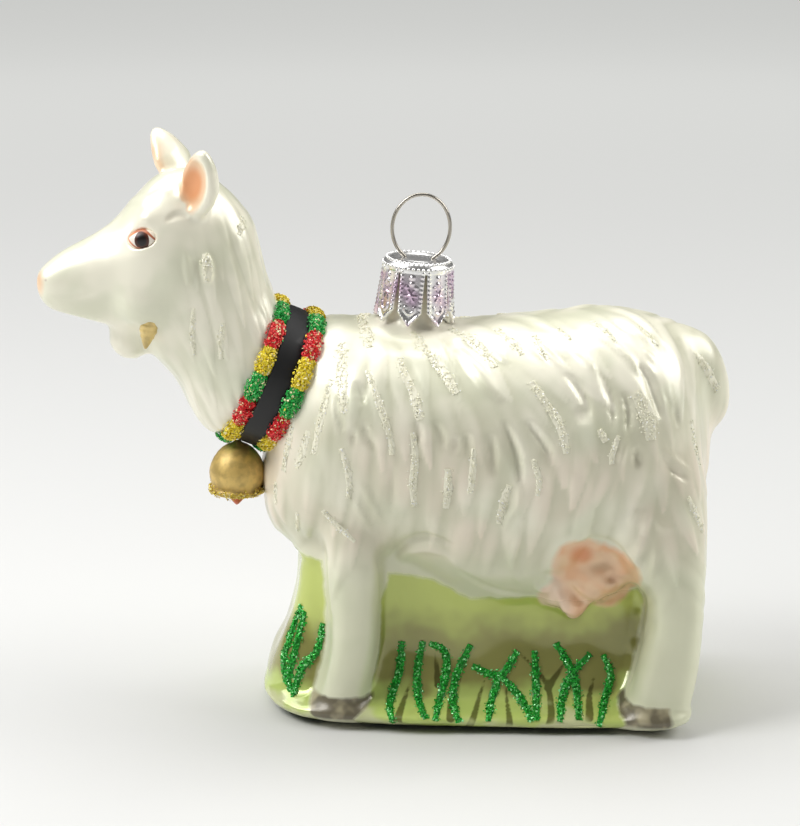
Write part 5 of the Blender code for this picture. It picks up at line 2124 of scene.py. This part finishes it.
@dataclass(frozen=True)
class FlakeFinish(Finish):
    """Glitter whose flakes differ at random in painted glint and shade and, where marked, in colour.

    Attributes:
        bright: The colour of the brightest flakes, a painted glint.
        colours: The colours of marks 0, 1 and 2, if the flakes carry marks.
        depth: How much painted shade darkens the darkest flakes.
    """

    bright: tuple = (1.0, 1.0, 1.0, 1.0)
    colours: tuple = ()
    depth: float = 0.6

    def paint(self, graph: Graph) -> dict:
        """Paints each flake's glint and shade, and its colour by its mark.

        Args:
            graph: The material's tree.

        Returns:
            The colour and the roughness.
        """
        tint = graph.attribute("tint")
        base: object = self.base
        if self.colours:
            mark = graph.attribute("mark")
            base = graph.mix(graph.math("GREATER_THAN", mark, 0.5), self.colours[0], self.colours[1])
            base = graph.mix(graph.math("GREATER_THAN", mark, 1.5), base, self.colours[2])
        # Painted shade on the darker flakes and a painted glint on the brightest, chosen at random.
        shaded = graph.mix(graph.step(tint, 0.0, 0.6), graph.mix(self.depth, base, BLACK), base)
        inputs = {"Value": tint, "To Min": self.roughness + 0.2, "To Max": self.roughness}
        return {"Base Color": graph.mix(graph.step(tint, 0.8, 0.95), shaded, self.bright),
                "Roughness": graph.node("MapRange", inputs).outputs[0]}


@dataclass(frozen=True)
class GiltFinish(Finish):
    """Gold lacquer with a faint grain and darker clouds."""

    def paint(self, graph: Graph) -> dict:
        """Paints the clouds and raises the grain.

        Args:
            graph: The material's tree.

        Returns:
            The colour and the normal.
        """
        cloud = graph.step(graph.noise(1.6, 3.0), 0.35, 0.7)
        painted = graph.mix(cloud, self.base, graph.mix(0.35, self.base, GILT_HOLLOW))
        grain = graph.node("Bump", {"Strength": 0.15, "Distance": 0.0001, "Height": graph.noise(0.5, 3.0)})
        return {"Base Color": painted, "Normal": grain.outputs[0]}


@dataclass(frozen=True)
class SilverFinish(Finish):
    """Silver foil with a mauve cast on the petals' faces."""

    def paint(self, graph: Graph) -> dict:
        """Paints the mauve clouds below the cap's top.

        Args:
            graph: The material's tree.

        Returns:
            The colour.
        """
        below = graph.step(graph.place()[2], 0.0742, 0.0732)
        cloud = graph.times(graph.step(graph.noise(5.0, 1.0), 0.36, 0.6), below)
        return {"Base Color": graph.mix(cloud, self.base, CAP_MAUVE)}


@dataclass(frozen=True)
class PaperFinish(Finish):
    """Studio paper with a little painted shade to one side and a painted glow far from the middle.

    Attributes:
        shade: Its colour on the side in painted shade.
        glow: The light that it gives far away, which keeps the distance pale.
    """

    emission: float = 1.0
    shade: tuple = (0.5, 0.5, 0.5, 1.0)
    glow: tuple = (0.5, 0.505, 0.49, 1.0)

    def paint(self, graph: Graph) -> dict:
        """Paints the shade to one side and the glow far away.

        Args:
            graph: The material's tree.

        Returns:
            The colour and the light.
        """
        # Painted shade toward +X, and a painted glow far from the middle.
        aside = graph.step(graph.place()[0], -0.05, 0.25)
        away = graph.step(graph.length(graph.where()), 0.1, 0.85)
        return {"Base Color": graph.mix(aside, self.base, self.shade),
                "Emission Color": graph.mix(away, BLACK, self.glow)}


# ---- the studio


@dataclass(frozen=True)
class SoftBox:
    """A soft rectangular light that doesn't show itself.

    Attributes:
        name: Its name.
        place: Where it stands.
        aim: What it points at.
        size: Its width and height.
        power: Its power in watts.
        tone: Its colour.
    """

    name: str
    place: tuple
    aim: tuple
    size: tuple
    power: float
    tone: tuple = (1.0, 0.99, 0.97)

    def build(self) -> None:
        """Adds the light."""
        bpy.ops.object.light_add(type="AREA", location=Vector(self.place) * MM)
        light = bpy.context.active_object
        light.name = self.name
        light.data.shape = "RECTANGLE"
        light.data.size, light.data.size_y = self.size[0] * MM, self.size[1] * MM
        light.data.energy = self.power
        light.data.color = self.tone
        light.visible_camera = False
        light.rotation_euler = (Vector(self.aim) - Vector(self.place)).to_track_quat("-Z", "Y").to_euler()


@dataclass
class Studio:
    """A pale floor, soft lights and the camera."""

    BOXES = (SoftBox("top_box", (-40, 180, 580), (0, 10, 40), (480, 360), 2.0, (1.0, 1.0, 0.985)),
             SoftBox("left_box", (-430, -60, 480), (-30, 0, 60), (460, 420), 2.2, (0.98, 0.99, 1.0)),
             SoftBox("head_box", (-270, -110, 320), (-50, 0, 78), (180, 180), 0.6),
             SoftBox("right_box", (490, 0, 400), (30, 0, 50), (420, 400), 2.4))
    HALF_FLOOR, FLOOR_LEVEL = 6000.0, -0.01
    AIR_TONE, AIR_FILL, AIR_SEEN = (0.87, 0.87, 0.85, 1.0), 0.1, 0.72
    DISTANCE, LENS, SENSOR, CLIP = 420.0, 110.5, 36.0, 0.01
    TARGET = Vector((1.94, 0.0, SIGHT_HEIGHT))

    def floor(self) -> None:
        """Makes the paper that the ornament stands on."""
        half, level = self.HALF_FLOOR, self.FLOOR_LEVEL
        corners = [(-half, -half, level), (half, -half, level), (half, half, level), (-half, half, level)]
        paper = mesh_object("studio_paper", np.array(corners) * MM, [(0, 1, 2, 3)])
        finish = PaperFinish("pale_paper", colour(216, 216, 215), 0.6, shade=colour(212, 213, 212))
        paper.data.materials.append(finish.material())

    def air(self) -> None:
        """Makes the air: a dim fill light that looks pale itself."""
        world = bpy.data.worlds.new("studio_air")
        bpy.context.scene.world = world
        world.use_nodes = True
        back = world.node_tree.nodes["Background"]
        back.inputs["Color"].default_value = self.AIR_TONE
        graph = Graph(world.node_tree)
        inputs = {"Value": graph.node("LightPath").outputs["Is Camera Ray"],
                  "To Min": self.AIR_FILL, "To Max": self.AIR_SEEN}
        world.node_tree.links.new(graph.node("MapRange", inputs).outputs[0], back.inputs["Strength"])

    def camera(self) -> None:
        """Sets the camera up."""
        back_off = Vector((0.0, -math.cos(SIGHT_TILT), math.sin(SIGHT_TILT))) * self.DISTANCE
        bpy.ops.object.camera_add(location=(self.TARGET + back_off) * MM)
        camera = bpy.context.active_object
        camera.name = "photo_camera"
        camera.rotation_euler = (-back_off).to_track_quat("-Z", "Y").to_euler()
        camera.data.lens = self.LENS
        camera.data.sensor_width = self.SENSOR
        camera.data.clip_start = self.CLIP
        bpy.context.scene.camera = camera
        bpy.context.scene.view_settings.view_transform = "Standard"

    def build(self) -> None:
        """Makes the studio."""
        self.floor()
        self.air()
        for box in self.BOXES:
            box.build()
        self.camera()


# ---- the whole


@dataclass
class Ornament:
    """The dressed ornament."""

    def build(self) -> None:
        """Makes all its pieces."""
        head = HeadSkin("head_skin", ("head", "neck", "beard", "ear_left", "ear_right"), 0.3)
        head.build()
        head.dress()
        body = BodySkin("body_skin", ("trunk", "tail", "udder", "grass_bank") + LEGS + HOOVES, 0.512)
        body.build()
        body_surface = body.dress()
        both = Surface.of(head.piece, body.piece)
        pearl_body = BodyFinish("pearl_and_green_glass", WARM_WHITE, 0.36, 0.12, 0.4, 0.14).material()
        pearl_head = HeadFinish("pearl_head", WARM_WHITE, 0.34, 0.12, 0.5, 0.12).material()
        hand_over(head.piece, pearl_head, head.nodes, 75.0)
        hand_over(body.piece, pearl_body, body.nodes, 75.0)
        self.glitter(both, body_surface)
        self.furniture()

    def glitter(self, both: Surface, body: Surface) -> None:
        """Draws the glitter lines.

        Args:
            both: The surface of body and head.
            body: The surface of the body alone.
        """
        frost = Finish("white_glue", colour(246, 243, 222), 0.4, 0.05, 0.4).material()
        snow = FlakeFinish("white_glitter", colour(246, 244, 222), 0.35, 0.0, 0.2,
                           bright=colour(255, 255, 252), depth=0.08).material()
        leaf = Finish("green_glue", colour(20, 140, 34), 0.4).material()
        emerald = FlakeFinish("green_glitter", colour(34, 190, 58), 0.22, 0.25, 0.3,
                              bright=colour(170, 255, 176), depth=0.5).material()
        for side in Side:
            strokes = tuple((line, 1.25 * width) for line, width in WHITE_LINES + NECK_LINES)
            GlueLines(f"frost_{side.word}", strokes, side, (0.22, 0.4), 8.0, 0.2, 0.45).build(
                both, Slot.PEARL, frost, snow)
            blades = tuple((line, 0.78) for line in GREEN_LINES)
            GlueLines(f"grass_{side.word}", blades, side, (0.36, 0.54), 12.0, 0.34).build(
                body, Slot.GLITTER, leaf, emerald)

    def furniture(self) -> None:
        """Makes the collar, the bell, the eyes, the wattles, the cap and its wire."""
        tones = (colour(34, 190, 78), colour(244, 40, 46), colour(255, 232, 52))
        ribbon = Finish("black_satin", colour(13, 13, 15), 0.5, 0.0, 0.1).material()
        trim = FlakeFinish("trim_glue", colour(120, 20, 20), 0.45, 0.2, colours=tones).material()
        glitter = FlakeFinish("trim_glitter", colour(120, 20, 20), 0.22, 0.12, 0.3,
                              bright=colour(255, 244, 190), colours=tones, depth=0.35).material()
        Collar().build(ribbon, trim, glitter)
        gold = GiltFinish("gold_lacquer", colour(222, 190, 112), 0.46, 0.35, 0.15, 0.3).material()
        copper = Finish("copper_lacquer", colour(190, 96, 60), 0.3, 0.8, 0.2).material()
        shine = FlakeFinish("gold_glitter", colour(232, 206, 84), 0.2, 0.3,
                            bright=colour(255, 250, 205), depth=0.4).material()
        Bell().build(gold, copper, shine)
        pale = GiltFinish("pale_gold_lacquer", colour(232, 204, 130), 0.3, 0.25, 0.5, 0.1).material()
        Wattles().build(pale)
        Eyes().build(EyeFinish("eye_lacquer", colour(240, 235, 228), 0.35, 0.0, 0.0).material())
        Cap().build(SilverFinish("silver_foil", colour(244, 243, 242), 0.24, 0.86).material())
        WireLoop().build(Finish("spring_steel", colour(178, 172, 162), 0.26, 0.95).material())


def main() -> None:
    """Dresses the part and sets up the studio."""
    logging.basicConfig(level=logging.INFO)
    Ornament().build()
    Studio().build()


if __name__ == "__main__":
    main()
